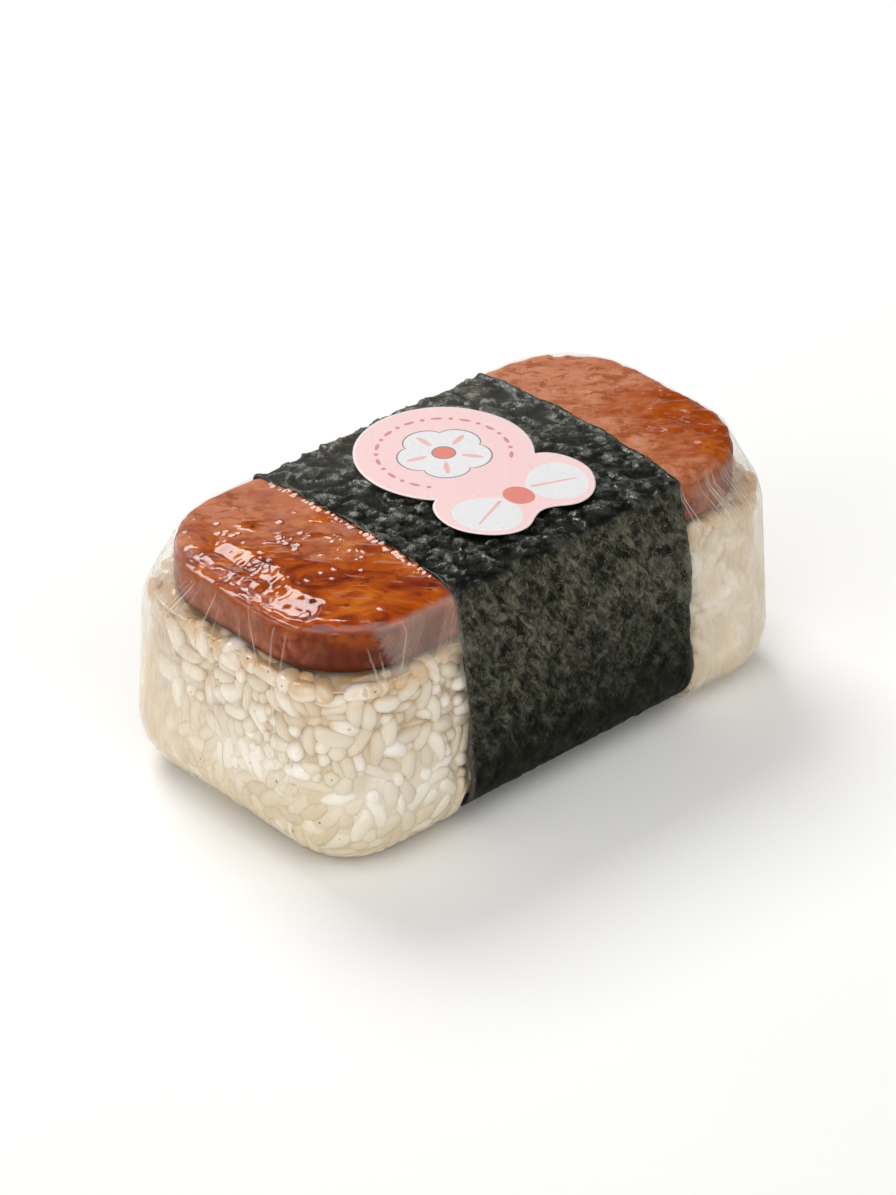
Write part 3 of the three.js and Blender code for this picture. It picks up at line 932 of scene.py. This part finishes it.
def glaze_amount(points):
    """Where the glaze lies thick on the slice's face, from 0 to 1."""
    x, y, _ = points.T
    wander = 3.0 * noise_at(points, 8.0, 3) + 1.6 * noise_at(drawn_out(points, 2.0), 2.6, 2, 7.0)
    pool = smooth(-44 + 0.49 * (19 - y) + wander - x, -1.2, 1.6)
    streaks = smooth(noise_at(drawn_out(points, 3.0), 2.4, 3, 3.0) - 0.03 * y, 0.0, 0.3)
    front = np.clip(0.25 + pool + 0.8 * streaks, 0, 1)
    back = smooth(noise_at(drawn_out(points, 1.8), 5.0, 3, 21.0) + 0.05 * (x - 40) - 0.02 * y, 0.1, 0.45)
    corner = smooth(x, 31, 42) * smooth(wander - y, -9, 6)
    return np.where(x < BAND_CENTRE, front, np.clip(0.35 * back + 0.9 * corner, 0, 1))


def glaze_waves(points):
    """Heights of the thick glaze at the left end, and where its slopes mirror the softbox."""
    x, y, _ = points.T
    ragged = 0.9 * noise_at(points, 3.0, 2, 33.0) + 0.5 * noise_at(points, 1.2, 1, 3.0)
    outer = BROW_X + 0.25 * np.maximum(-y - 5.5, 0)
    width = (1.3 + 2.9 * smooth(-y, -5, 6) + 0.7 * ragged) * smooth(y + ragged, -15.4, -14.2)
    width = np.maximum(width, 0.5 * smooth(y, -16, -14))
    brow = MIRROR_SLOPE * np.clip(x - outer - width, -width, 0)
    on_brow = smooth(x, outer - 0.4, outer) * smooth(outer + width - x, -0.2, 0.2)
    past = np.clip(1 - rim_inset(points) / BROW_INSET, 0, 0.8)
    brow += BROW_DROP * (1 - np.sqrt(1 - past * past)) * on_brow
    inner = RIDGE_X - 1.8 * smooth(-y, 2, 6) + ragged
    width = np.maximum(2.6 + 0.8 * ragged, 0.8) * smooth(y + ragged, -6.5, -5.0)
    width = width * smooth(-y + ragged, -13.5, -12.0)
    fall = MIRROR_SLOPE * np.clip(x - inner, -width, 0)
    rise = 0.6 * MIRROR_SLOPE * np.clip(inner - width - x, 0, width)
    on_fall = smooth(x, inner - width - 0.2, inner - width + 0.2) * smooth(inner - x, -0.2, 0.2)
    return brow + fall + rise, np.maximum(on_brow, on_fall)


def meat_relief(points, glaze):
    """How far the slice's face stands out, in millimetres."""
    x = points[:, 0]
    left = smooth(-x, 10, 20)
    streaks = 0.12 * noise_at(drawn_out(points, 2.6), 2.4, 3, 9.0)
    ragged = 0.045 * noise_at(points, 1.5, 2, 5.0) * smooth(-x, 34, 38)
    rough = 0.3 * noise_at(drawn_out(points, 1.5), 2.2, 3, 15.0)
    pits = 0.4 * smooth(noise_at(drawn_out(points, 1.6), 3.0, 1, 17.0), 0.22, 0.5)
    waves, slopes = glaze_waves(points)
    glazed = waves + (streaks * (1 - 0.6 * glaze) + ragged) * (1 - 0.85 * slopes) + 0.2 * glaze
    griddled = streaks + rough - pits + 0.1 * glaze
    return np.minimum(mix(griddled, glazed, left), MOST_RELIEF)


def band_press(points):
    """How far the band presses the slice's face down beneath itself."""
    x, y, _ = points.T
    side = np.where(x < BAND_CENTRE, -1.0, 1.0)
    past = side * (x - BAND_CENTRE) - BAND_HALF - band_spread(side, y)
    return 0.25 * (1 - smooth(past, -0.2, 1.0)) + 0.9 * (1 - smooth(past, -1.8, 0.2))


def add_meat():
    """The slice: a wall, a soft brow and a face with relief, under one material."""
    ring = Ring(MEAT_SPACING)
    rows = quarter_rows(slice_row(MEAT_LOW[2] + 0.9, MEAT_MARGIN), 0.9, 0.9, False, 4)
    wall_top = slice_row(MEAT_HIGH[2] - BROW_DROP, MEAT_MARGIN)
    rows += quarter_rows(wall_top, BROW_INSET, BROW_DROP, True, 16)
    rows = closed_rows(rows, MEAT_SPACING, (2.5, 8.0), (MEAT_SPACING, 1.6))
    flat, normals, faces = ring.solid(rows)
    top = smooth(normals[:, 2], 0.25, 0.75)
    glaze = glaze_amount(flat)
    side = 0.1 * noise_at(flat, 1.6, 3, 30.0) + 0.22 * noise_at(flat, 5.0, 2, 31.0) - 0.1
    under_face = smooth(-normals[:, 2], 0.3, 0.8)
    relief = mix(side, meat_relief(flat, glaze), top) * (1 - under_face)
    flat = flat + normals * relief[:, None]
    flat[:, 2] -= band_press(flat) * top
    material = meat_material()
    values = {"glaze": glaze, "top": top}
    make_piece("meat", flat, faces, [material], ["meat_slice"], values)
    add_glaze_drops(flat[normals[:, 2] > 0.5], material)


def drop_places():
    """Where the glaze has drops and burst bubbles: round its ridge, in a patch, and here and there."""
    along = draw.uniform(0, 1, 22)
    ridge = np.column_stack([mix(-38.4, -40.6, along), mix(17.0, 0.0, along)])
    ridge = ridge + draw.normal(0, 1.0, (22, 2))
    slant = draw.normal(0, 2.0, 14)
    patch = np.column_stack([slant * 0.3, slant * 0.9]) + draw.normal(0, 0.6, (14, 2)) + (-34.2, 3.3)
    loose = draw.uniform((-45, -21), (-26, 18), (16, 2))
    along = np.linspace(-19, 20, 40) + draw.normal(0, 0.4, 40)
    edge = BAND_CENTRE - BAND_HALF - band_spread(-1, along) - draw.uniform(0.7, 1.3, 40)
    return np.vstack([ridge, patch, loose, np.column_stack([edge, along])])


def drop_shape():
    """Points and faces of a drop with a radius of 1: its rings upwards, then its top and bottom."""
    sides = 12
    rings = [(1.0, -0.3), (0.85, 0.0), (0.6, 0.05), (0.3, 0.07)]
    points = [(r * math.cos(a), r * math.sin(a), h) for r, h in rings for a in turns(sides)]
    faces = grid_faces(len(rings), sides, True).tolist()
    top = len(points) - sides
    faces += [(top + i, top + (i + 1) % sides, top + sides) for i in range(sides)]
    faces += [(top + sides + 1, (i + 1) % sides, i) for i in range(sides)]
    return np.array(points + [(0, 0, 0.08), (0, 0, -0.6)]), faces


def add_glaze_drops(face, material):
    """Low drops of glaze on the slice's face, as one piece. Their tops lean like the glaze's waves."""
    shape, corners = drop_shape()
    points = []
    faces = []
    for x, y in drop_places():
        nearest = face[np.argmin(np.hypot(face[:, 0] - x, face[:, 1] - y))]
        radius = draw.uniform(0.3, 0.75)
        long = draw.uniform(1.0, 1.8)
        x, y, z = (shape * (radius * long, radius, radius)).T
        across = STREAK_X * x + STREAK_Y * y
        lean = MIRROR_SLOPE * (across - across.min() * 0.35) * (shape[:, 2] > -0.1)
        faces += shifted(corners, len(points))
        points += list(nearest + np.column_stack([across, -STREAK_Y * x + STREAK_X * y, z + lean]))
    points = np.array(points)
    points[:, 2] = np.minimum(points[:, 2], MEAT_HIGH[2] + FILM_OVER_MEAT)
    ones = np.ones(len(points))
    make_piece("glaze_drops", points, faces, [material], [], {"glaze": ones, "top": ones})


# ---------------------------------------------------------------- nori

# How far the band's ends reach past the middle underneath, and the inner one's height over the outer.
LAP = 10.0
LAP_RISE = 0.7
NORI_COLUMNS = 122
SHOULDER_TURN = 5
RIM_TURN = 1.6


def band_path(under, side, over):
    """The band's outer line, as (y, z), from its inner end to its outer end, at three spacings."""
    shoulder_y = SHOULDER_WIDTH / 2 - NORI_INSET
    foot_slope = (PACK_WIDTH - SHOULDER_WIDTH) / 2 / (SHOULDER_HEIGHT - FOOT_RADIUS)
    tent_slope = (SHOULDER_WIDTH - RIM_WIDTH) / 2 / (RIM_HEIGHT - SHOULDER_HEIGHT)
    top = NORI_HIGH[2]
    top_y = shoulder_y - tent_slope * (top - SHOULDER_HEIGHT)
    outer = NORI_LOW[2]
    inner = outer + LAP_RISE
    corners = [
        (LAP, inner, 0, under),
        (-shoulder_y - foot_slope * (SHOULDER_HEIGHT - inner), inner, 11, under),
        (-shoulder_y, SHOULDER_HEIGHT, SHOULDER_TURN, side),
        (-top_y, top, RIM_TURN, side),
        (top_y, top, RIM_TURN, over),
        (shoulder_y, SHOULDER_HEIGHT, SHOULDER_TURN, side),
        (shoulder_y + foot_slope * (SHOULDER_HEIGHT - outer), outer, 12, side),
        (-LAP, outer, 0, under),
    ]
    line = [corners[0][:2]]
    for before, (y, z, rounding, spacing), after in zip(corners, corners[1:], corners[2:]):
        here = np.array([y, z])
        enter = here + unit(np.array(before[:2]) - here) * rounding
        leave = here + unit(np.array(after[:2]) - here) * rounding
        line += resample([line[-1], enter], spacing)[1:].tolist()
        for share in np.linspace(0, 1, 2 + int(1.6 * rounding / spacing))[1:]:
            point = (1 - share) ** 2 * enter + 2 * share * (1 - share) * here + share ** 2 * leave
            line.append(point.tolist())
    return np.array(line + resample([line[-1], corners[-1][:2]], under)[1:].tolist())


def band_edge(side, y, z):
    """The band's edge at (y, z): side is -1 at its left edge and 1 at its right one."""
    spread = band_spread(side, y) * smooth(z, RIM_HEIGHT - 2, NORI_HIGH[2])
    ripple = 0.3 * np.sin(0.22 * z + 1.1 * side) + 0.2 * np.sin(0.55 * y + 0.35 * z + side)
    places = np.column_stack([np.full(len(y), 9.0 * side), y, z])
    ragged = 0.22 * noise_at(places, 1.5, 2) + 0.2 * noise_at(places, 3.0, 1, 5.0)
    return BAND_CENTRE + side * (BAND_HALF + spread + ripple + ragged)


def nori_relief(points, crinkle):
    """How far the sheet stands out: crumpled over the slice, and nearly flat on its sides."""
    drawn = drawn_out(points, 1.9)
    bent = drawn + 0.7 * np.stack([noise_at(drawn, 3.0, 1, 40.0 + 9 * k) for k in range(3)], -1)
    lumps = 0.2 * noise_at(drawn, 4.6, 2, 2.0)
    ridges = 0.65 * (1 - 4 * np.abs(noise_at(bent, 3.0, 1, 3.0)))
    ridges += 0.24 * (1 - 4 * np.abs(noise_at(bent, 1.5, 1, 30.0)))
    creases = 0.3 * (1 - smooth(cells_at(bent, 2.3), 0, 0.2))
    top = lumps + 0.25 * flakes(bent, 2.3) + ridges - creases - 0.55
    side = 0.12 * noise_at(points, 2.2, 3, 12.0) + 0.22 * flakes(points, 2.0, 14.0)
    return mix(side, np.clip(top, -0.9, 0.1), crinkle)


def sheet_faces(rows, columns):
    """Quads over a grid, over a second one on its other side, and along the border between them."""
    size = rows * columns
    faces = grid_faces(rows, columns, False)
    edge = np.concatenate([
        np.arange(columns),
        np.arange(1, rows) * columns + columns - 1,
        (rows - 1) * columns + np.arange(columns - 2, -1, -1),
        np.arange(rows - 2, 0, -1) * columns,
    ])
    after = np.roll(edge, -1)
    border = np.stack([after, edge, edge + size, after + size], -1)
    return np.concatenate([faces, faces[:, ::-1] + size, border])


def add_nori():
    """The band: one sheet round the block, its two ends lapped underneath."""
    path = band_path(1.0, 0.42, 0.4)
    left, right = (band_edge(side, *path.T) for side in (-1, 1))
    x = mix(left[:, None], right[:, None], np.linspace(0, 1, NORI_COLUMNS)[None])
    grid = np.stack([x, *(np.repeat(path[:, k:k + 1], NORI_COLUMNS, 1) for k in (0, 1))], -1)
    out = grid_normals(grid, False).reshape(-1, 3)
    flat = grid.reshape(-1, 3)
    on_top = smooth(flat[:, 2], RIM_HEIGHT - 0.6, RIM_HEIGHT + 1.0)
    from_left = flat[:, 0] - np.repeat(left, NORI_COLUMNS)
    from_edge = np.minimum(from_left, np.repeat(right, NORI_COLUMNS) - flat[:, 0])
    calm = 1 - 0.35 * smooth(from_left + 0.35 * flat[:, 1], 18, 38)
    relief = nori_relief(flat, on_top * calm) * smooth(flat[:, 2], 1.6, 5.0)
    relief = relief * mix(1, smooth(from_edge, 0.0, 1.0), on_top)
    outer = flat + out * relief[:, None]
    inner = flat + out * (0.5 * relief - NORI_THICKNESS)[:, None]
    faces = sheet_faces(len(path), NORI_COLUMNS)
    values = {"face": np.tile(on_top, 2), "crest": np.tile(smooth(relief, -0.75, -0.05), 2)}
    make_piece("nori", np.vstack([outer, inner]), faces, [nori_material()], ["nori_band"], values)


# ---------------------------------------------------------------- film

FILM_MARGIN = -0.05
FILM_OVER_MEAT = 0.35
FILM_OVER_NORI = 0.2
FILM_OPENING = (60.0, 18.0, 8.0)
WAY_ROUND = 304.0
FILM_SPACING_ROUND = 0.75
FILM_SPACING_DOWN = 0.8


def film_rows():
    """The film's rows from its opening underneath, up its side and in over the slice."""
    wall = pack_row(FOOT_RADIUS, FILM_MARGIN)
    foot = quarter_rows(wall, FOOT_RADIUS, FOOT_RADIUS + FILM_MARGIN, False, 12)
    shoulder = [pack_row(SHOULDER_HEIGHT + step, FILM_MARGIN) for step in (-2.2, -0.9, 0.9, 2.2)]
    brow = slice_row(MEAT_HIGH[2] - BROW_DROP, MEAT_MARGIN + FILM_OVER_MEAT)
    rim = quarter_rows(brow, BROW_INSET, BROW_DROP + FILM_OVER_MEAT, True, 9)
    return [(*FILM_OPENING, foot[0][3]), *foot, *shoulder, *rim]


def film_haze(points):
    """How milky the film is: most at both ends, where it is gathered, with a painted reflection beside the
    band on the slice's front, and a painted sheen over the band's top.
    """
    x, y, z = points.T
    low = smooth(-z, -36.5, -31.5)
    far = smooth(y, 8, 18)
    left = smooth(-x, 40, 51) * (0.35 * smooth(y, -12, 8) + 0.65 * smooth(y, 6, 20))
    left *= 0.16 + 0.5 * far + (0.84 - 0.5 * far) * low
    right = smooth(x, 25, 30) * smooth(-z, -44.4, -41.5) * (0.25 + 0.15 * smooth(x, 31, 38) + 0.5 * low)
    front = smooth(-y, 20, 23) * smooth(z, 33.6, 35) * smooth(-z, -44.4, -43.4)
    # Painted reflection: a milky veil on the film over the slice's front, beside the band's left edge.
    painted_reflection = 0.42 * smooth(x - 0.24 * (43.5 - z), -39.8, -39.2) * smooth(-x, 22.8, 24.0) * front
    bridge = 0.12 * waist(x, 0.8, 0.8) * (1 - waist(x, 0.6, -0.4)) * smooth(np.abs(y), 20, 23)
    # Painted sheen: a faint milky veil over the band's top towards its back, standing in for the film's
    # reflection of the light.
    sheen = 0.11 * smooth(z, 44, 44.6) * smooth(y + 0.3 * x, -8, 22) * waist(x, 1.0)
    tuck = 0.5 * smooth(-z, -0.3, -0.1) * smooth(-np.abs(y), -12, -8)
    return np.maximum(np.maximum(left, right), np.maximum(painted_reflection, bridge)) + sheen + tuck


def add_film():
    """The film round everything, drawn tight, with pleats that run down its ends."""
    ring = Ring(FILM_SPACING_ROUND)
    rows = closed_rows(film_rows(), FILM_SPACING_DOWN, (1.2, 3.0), (1.2, 3.0))
    flat, normals, faces = ring.solid(rows)
    radius = ring.count * FILM_SPACING_ROUND / (2 * math.pi)
    circle = radius * on_circle(turns(ring.count))
    down = np.repeat(np.arange(len(rows)) * FILM_SPACING_DOWN, ring.count)
    wrap = np.column_stack([np.tile(circle, (len(rows), 1)), down])
    haze = film_haze(flat)
    pleat = noise_at(wrap * (1, 1, 0.06), 2.2, 3, 1.0)
    crease = smooth(noise_at(wrap * (1, 1, 0.04), 3.1, 2, 6.0), 0.2, 0.45)
    out = (0.12 * pleat + 0.22 * crease) * haze * smooth(flat[:, 2], 0.3, 4)
    out = out * mix(1, 0.5, smooth(flat[:, 0], 0, 20))
    flat = flat + normals * out[:, None]
    lift = NORI_HIGH[2] + FILM_OVER_NORI - MEAT_HIGH[2] - FILM_OVER_MEAT
    flat[:, 2] += lift * waist(flat[:, 0], 12.0) * smooth(flat[:, 2], RIM_HEIGHT - 1, MEAT_HIGH[2])
    inner = smooth(-flat[:, 2], -0.12, -0.08) * smooth(-np.abs(flat[:, 1]), -9.5, -7)
    flat[:, 2] += 0.35 * inner * np.abs(noise_at(flat, 3.0, 2, 4.0))
    shine = 0.2 * (1 - waist(flat[:, 0], 2.0, -0.5))
    values = {"wrap": wrap, "haze": haze, "shine": shine}
    material = film_material("cling_film")
    make_piece("film", flat, faces, [material], ["film_wrap"], values)
    return flat.reshape(len(rows), ring.count, 3)


# Folds given one by one: (share of the way round the pack, height) along each, from +X towards +Y.
SHOWN_FOLDS = [
    [(0.559, 42.5), (0.552, 36), (0.5515, 31), (0.549, 25), (0.5465, 17)],
    [(0.566, 42.5), (0.559, 36), (0.5525, 31)],
    [(0.5585, 30), (0.5585, 20), (0.5595, 9), (0.549, 2)],
    [(0.546, 20), (0.553, 12), (0.5585, 7), (0.551, 1.5)],
    [(0.6185, 43.6), (0.6215, 40), (0.6245, 35.8)],
    [(0.6015, 41), (0.6125, 35), (0.617, 31.5)],
    [(0.608, 40), (0.6165, 35), (0.62, 33)],
]


def random_folds():
    """Folds that fan out from the slice's rim at both ends and at the back."""
    folds = []
    ends = ((0.85, 0.94, 22, 43), (0.42, 0.53, 14, 38), (0.03, 0.17, 14, 40), (0.34, 0.4, 8, 38))
    for low, high, count, first in ends:
        for _ in range(count):
            share = draw.uniform(low, high)
            top = draw.uniform(first, 44)
            drop = draw.uniform(6, 26)
            lean = 0.12 * (share - (low + high) / 2) + draw.normal(0, 0.003)
            folds.append([(share + lean * k / 3, top - drop * k / 3) for k in range(4)])
    return folds


def film_point(grid, share, height):
    """The film's point at a share of the way round, where it reaches a height."""
    column = share % 1.0 * grid.shape[1]
    first = int(column)
    line = mix(grid[:, first], grid[:, (first + 1) % grid.shape[1]], column - first)
    top = int(np.argmax(line[:, 2] > MEAT_HIGH[2] - 0.6)) + 1
    return np.array([np.interp(height, line[:top, 2], line[:top, k]) for k in range(3)])


def add_film_folds(grid):
    """Narrow creases in the film: tapered ribbons that are milky along their raised middle."""
    points = []
    faces = []
    haze = []
    for count, fold in enumerate(SHOWN_FOLDS + random_folds()):
        width = draw.uniform(0.2, 0.42) * (1.0 if count < len(SHOWN_FOLDS) else 0.62)
        line = resample([(share * WAY_ROUND, height) for share, height in fold], 0.8)
        centre = np.array([film_point(grid, place / WAY_ROUND, height) for place, height in line])
        outward = rice_outward(centre, lid=False)
        across = unit(np.cross(np.gradient(centre, axis=0), outward))
        taper = np.sin(np.linspace(0.05, 0.98, len(line)) * math.pi) ** 0.35
        half = (width * (0.4 + 0.6 * taper))[:, None]
        rows = np.stack([
            centre - across * half - outward * 0.02,
            centre + outward * (0.03 + 0.35 * half),
            centre + across * half - outward * 0.02,
            centre - outward * 0.03,
        ], 1)
        strip = grid_faces(len(line), 4, True).tolist()
        tail = 4 * len(line) - 4
        faces += shifted([*strip, (3, 2, 1, 0), range(tail, tail + 4)], len(points))
        points += list(rows.reshape(-1, 3))
        haze += np.outer(taper * draw.uniform(0.5, 1.0), (0, 1, 0, 0)).ravel().tolist()
    points = np.array(points)
    values = {"wrap": points, "haze": np.array(haze), "shine": np.zeros(len(points))}
    make_piece("film_folds", points, faces, [film_material("film_creases")], [], values)


# ---------------------------------------------------------------- sticker

DISC_RADIUS = 15.2
DISC_CENTRE = np.array([(STICKER_LOW[0] + STICKER_HIGH[0]) / 2, STICKER_HIGH[1] - DISC_RADIUS])
PETALS = 5
PETAL_DEPTH = 0.2
PAPER_THICKNESS = 0.12
JOINT_ANGLE = math.radians(47)
LEAF_EDGE = [
    [(14.2, -11.2), (16.2, -17.4), (13.9, -21.4)],
    [(12.2, -24.6), (9.2, -27.2), (5.8, -26.7)],
    [(3.6, -26.3), (2.4, -24.4), (0.0, -24.3)],
]


def bezier(start, first, second, end, steps):
    share = np.linspace(0, 1, steps + 1)[1:, None]
    rest = 1 - share
    ends = rest ** 3 * np.array(start) + share ** 3 * np.array(end)
    return ends + 3 * rest ** 2 * share * np.array(first) + 3 * rest * share ** 2 * np.array(second)


def sticker_outline():
    """The sticker's edge from the disc's centre, counterclockwise: the disc, then round both leaves."""
    start = JOINT_ANGLE - math.pi / 2
    angles = np.linspace(start, 1.5 * math.pi - JOINT_ANGLE, 90)
    disc = DISC_RADIUS * on_circle(angles)
    right = [disc[:1]]
    for first, second, end in LEAF_EDGE:
        right.append(bezier(right[-1][-1], first, second, end, 14))
    right = np.vstack(right)
    return np.vstack([disc, right[1:-1] * (-1, 1), right[:0:-1]])


def inset_outline(outline, distance):
    """The outline drawn in by a distance."""
    along = unit(np.roll(outline, -1, 0) - np.roll(outline, 1, 0))
    return outline + np.stack([-along[:, 1], along[:, 0]], -1) * distance


def ellipse(centre, across, along, turn=0.0, count=28):
    """Points round an ellipse, counterclockwise, turned by an angle."""
    angle = turns(count)
    x = across * np.cos(angle)
    y = along * np.sin(angle)
    c, s = math.cos(turn), math.sin(turn)
    return np.stack([centre[0] + c * x - s * y, centre[1] + s * x + c * y], -1)


def polar(radius, turn):
    return radius * np.array([math.cos(turn), math.sin(turn)])


def blossom(radius):
    """Points round a flower with rounded petals, about the disc's centre."""
    angle = turns(100)
    lobe = np.abs(np.cos(PETALS * (angle - math.pi / 2) / 2)) ** 0.7
    return (radius * (1 - PETAL_DEPTH + PETAL_DEPTH * lobe))[:, None] * on_circle(angle)


def leaf():
    """The right leaf of the tab, counterclockwise from its tip."""
    tip = (12.9, -20.9)
    root = (2.2, -17.6)
    upper = bezier(tip, (14.6, -15.2), (9.2, -9.8), root, 16)
    return np.vstack([upper, bezier(root, (1.6, -24.6), (8.6, -29.0), tip, 16)])


def sticker_print():
    """The print, as (material, outline) from the lowest layer to the highest."""
    edge = sticker_outline()
    shapes = [("rim", edge), ("pink", inset_outline(edge, 0.4))]
    shapes += [("line", blossom(8.3)), ("white", blossom(8.0))]
    for petal in range(PETALS):
        turn = math.radians(90 + 360 / PETALS * petal)
        shapes.append(("blush", ellipse(polar(4.9, turn), 1.9, 0.5, turn, 18)))
    shapes += [("line", ellipse((0, 0), 2.1, 2.1)), ("coral", ellipse((0, 0), 1.85, 1.85))]
    for i in range(22):
        turn = math.radians(-45 + 12.4 * i)
        size = (0.42, 0.42, 0, 12) if i % 2 else (0.36, 1.05, turn, 16)
        shapes.append(("mark", ellipse(polar(11.3, turn), *size)))
    vein = np.array([(3.4, -18.0), (10.9, -20.9), (10.9, -20.5), (3.4, -17.3)])
    for side in (-1, 1):
        shapes += [("white", (leaf() * (side, 1))[::side]), ("blush", (vein * (side, 1))[::side])]
    return [*shapes, ("coral", ellipse((0, -18.4), 2.5, 2.9, 0, 30))]


PRINT_COLOURS = {
    "rim": "f1dfde",
    "pink": "eecbca",
    "white": "e1e0e1",
    "line": "92828a",
    "blush": "e5b2ad",
    "coral": "db7f72",
    "mark": "cf868b",
}


def inside_outline(points, outline):
    """Which points lie inside an outline."""
    x, y = points[:, 0, None], points[:, 1, None]
    ax, ay = outline.T
    bx, by = np.roll(outline, -1, 0).T
    crosses = (ay > y) != (by > y)
    meets = ax + (y - ay) * (bx - ax) / np.where(by == ay, 1e-9, by - ay)
    return (crosses & (x < meets)).sum(1) % 2 == 1


def cut_print(shapes):
    """The sticker's face cut along all its shapes: points, triangles, and each triangle's material."""
    corners = []
    edges = []
    for _, outline in shapes:
        first = len(corners)
        corners += outline.tolist()
        edges += [(first + i, first + (i + 1) % len(outline)) for i in range(len(outline))]
    spread = np.mgrid[-16:16.1:1.3, -28:16.1:1.3].reshape(2, -1).T + 0.013
    corners += spread[inside_outline(spread, inset_outline(shapes[0][1], 0.5))].tolist()
    made = geometry.delaunay_2d_cdt([Vector(corner) for corner in corners], edges, [], 0, 1e-5)
    flat = np.array([tuple(corner) for corner in made[0]])
    faces = np.array([face for face in made[2] if len(face) == 3])
    middles = flat[faces].mean(1)
    owner = np.full(len(faces), -1)
    for name, outline in shapes:
        owner[inside_outline(middles, outline)] = list(PRINT_COLOURS).index(name)
    used, faces = np.unique(faces[owner >= 0], return_inverse=True)
    flat = flat[used]
    faces = faces.reshape(-1, 3)
    a, b, c = (flat[faces[:, k]] for k in range(3))
    turn = (b - a)[:, 0] * (c - a)[:, 1] - (b - a)[:, 1] * (c - a)[:, 0]
    faces[turn < 0] = faces[turn < 0][:, ::-1]
    return flat, faces, owner[owner >= 0]


def add_sticker():
    """The sticker: a thin sheet whose print is cut into its upper face, lying on the film."""
    flat, faces, owner = cut_print(sticker_print())
    points = np.column_stack([flat + DISC_CENTRE, np.zeros(len(flat))])
    low = points.copy()
    low[:, 2] = NORI_HIGH[2] + FILM_OVER_NORI + 0.08 + 0.06 * noise_at(points, 9.0, 2, 3.0)
    points[:, 2] = low[:, 2] + PAPER_THICKNESS
    sides = np.concatenate([faces[:, [0, 1]], faces[:, [1, 2]], faces[:, [2, 0]]])
    known = {tuple(side) for side in sides.tolist()}
    rim = sorted((p, q) for p, q in known if (q, p) not in known)
    count = len(points)
    every = faces.tolist() + (faces[:, ::-1] + count).tolist()
    every += [[q, p, p + count, q + count] for p, q in rim]
    index = np.concatenate([owner, np.zeros(len(faces) + len(rim), int)])
    materials = [paper_material("print_" + name, code) for name, code in PRINT_COLOURS.items()]
    points = np.vstack([points, low])
    piece = make_piece("sticker", points, every, materials, ["label_sticker"])
    piece.data.polygons.foreach_set("material_index", index.astype(np.int32))
    piece.data.polygons.foreach_set("use_smooth", np.arange(len(every)) < 2 * len(faces))


# ---------------------------------------------------------------- camera, floor and light

AZIMUTH = math.radians(-42.19)
ELEVATION = math.radians(32.5)
CAMERA_DISTANCE = 0.778
CAMERA_TARGET = Vector((-0.00227, 0.0, 0.02264))
CAMERA_LENS = 139.85
LIGHT_TARGET = Vector((0, 0, 0.03))
FLOOR_HALF = 3.0
FLOOR_LEVEL = -0.0001


def aim(made, away, distance, target):
    """Puts a camera or light at a distance from its target, and turns it to face it."""
    made.location = target + away * distance
    made.rotation_euler = (-away).to_track_quat("-Z", "Y").to_euler()


def add_camera():
    """The camera at the photo's viewing angle."""
    data = bpy.data.cameras.new("camera")
    data.lens = CAMERA_LENS
    data.sensor_width = 36
    camera = link_object("camera", data)
    level = math.cos(ELEVATION)
    away = (math.sin(AZIMUTH) * level, -math.cos(AZIMUTH) * level, math.sin(ELEVATION))
    aim(camera, Vector(away), CAMERA_DISTANCE, CAMERA_TARGET)
    bpy.context.scene.camera = camera


def add_floor():
    """A plain pale floor, just under the pack."""
    s = shader("pale_floor")
    colour = s.blend(s.span(s.noise(180.0, 3), 0.3, 0.7), "f8f8f6", "fafaf9")
    corners = ((-1, -1), (1, -1), (1, 1), (-1, 1))
    corners = [(x * FLOOR_HALF, y * FLOOR_HALF, FLOOR_LEVEL) for x, y in corners]
    mesh = bpy.data.meshes.new("floor")
    mesh.from_pydata(corners, [], [(0, 1, 2, 3)])
    mesh.materials.append(s.principled(Base_Color=colour, Roughness=0.8, Specular_IOR_Level=0.1))
    floor = link_object("floor", mesh)


def add_softbox(name, direction, distance, width, height, brightness):
    """A soft rectangular light that faces the pack from a direction."""
    data = bpy.data.lights.new(name, "AREA")
    data.shape = "RECTANGLE"
    data.size = width
    data.size_y = height
    data.energy = brightness * math.pi * width * height
    light = link_object(name, data)
    light.visible_camera = False
    aim(light, Vector(direction).normalized(), distance, LIGHT_TARGET)


def add_light():
    """Bright surroundings, darker behind the pack, where a softbox stands in for a window, and fills."""
    s = Shader(bpy.data.worlds.new("surroundings"))
    where = s.add("TexCoord", output="Generated")
    window = Vector((0.5, 0.55, 0.67)).normalized()
    facing = s.add("VectorMath", {0: where, 1: window}, "Value", operation="DOT_PRODUCT")
    strength = s.span(facing, 0.1, 0.85, 0.62, 0.03)
    glow = s.add("Background", {"Color": (1.0, 0.985, 0.965, 1.0), "Strength": strength})
    bpy.context.scene.world = s.finish(glow, "OutputWorld")
    add_softbox("back_softbox", (0.12, 0.62, 0.76), 0.9, 0.5, 0.42, 8.0)
    add_softbox("backdrop", (0.6, 0.75, 0.18), 1.6, 1.8, 0.4, 1.0)
    add_softbox("overhead", (-0.25, -0.3, 0.92), 1.1, 0.9, 0.9, 1.3)
    add_softbox("left_fill", (-0.92, -0.1, 0.4), 1.0, 0.9, 0.7, 1.2)
    add_softbox("front_fill", (0.1, -0.9, 0.45), 1.2, 0.9, 0.6, 0.9)
    bpy.context.scene.view_settings.view_transform = "Standard"


add_camera()
add_floor()
add_light()
add_rice()
add_meat()
add_nori()
add_film_folds(add_film())
add_sticker()
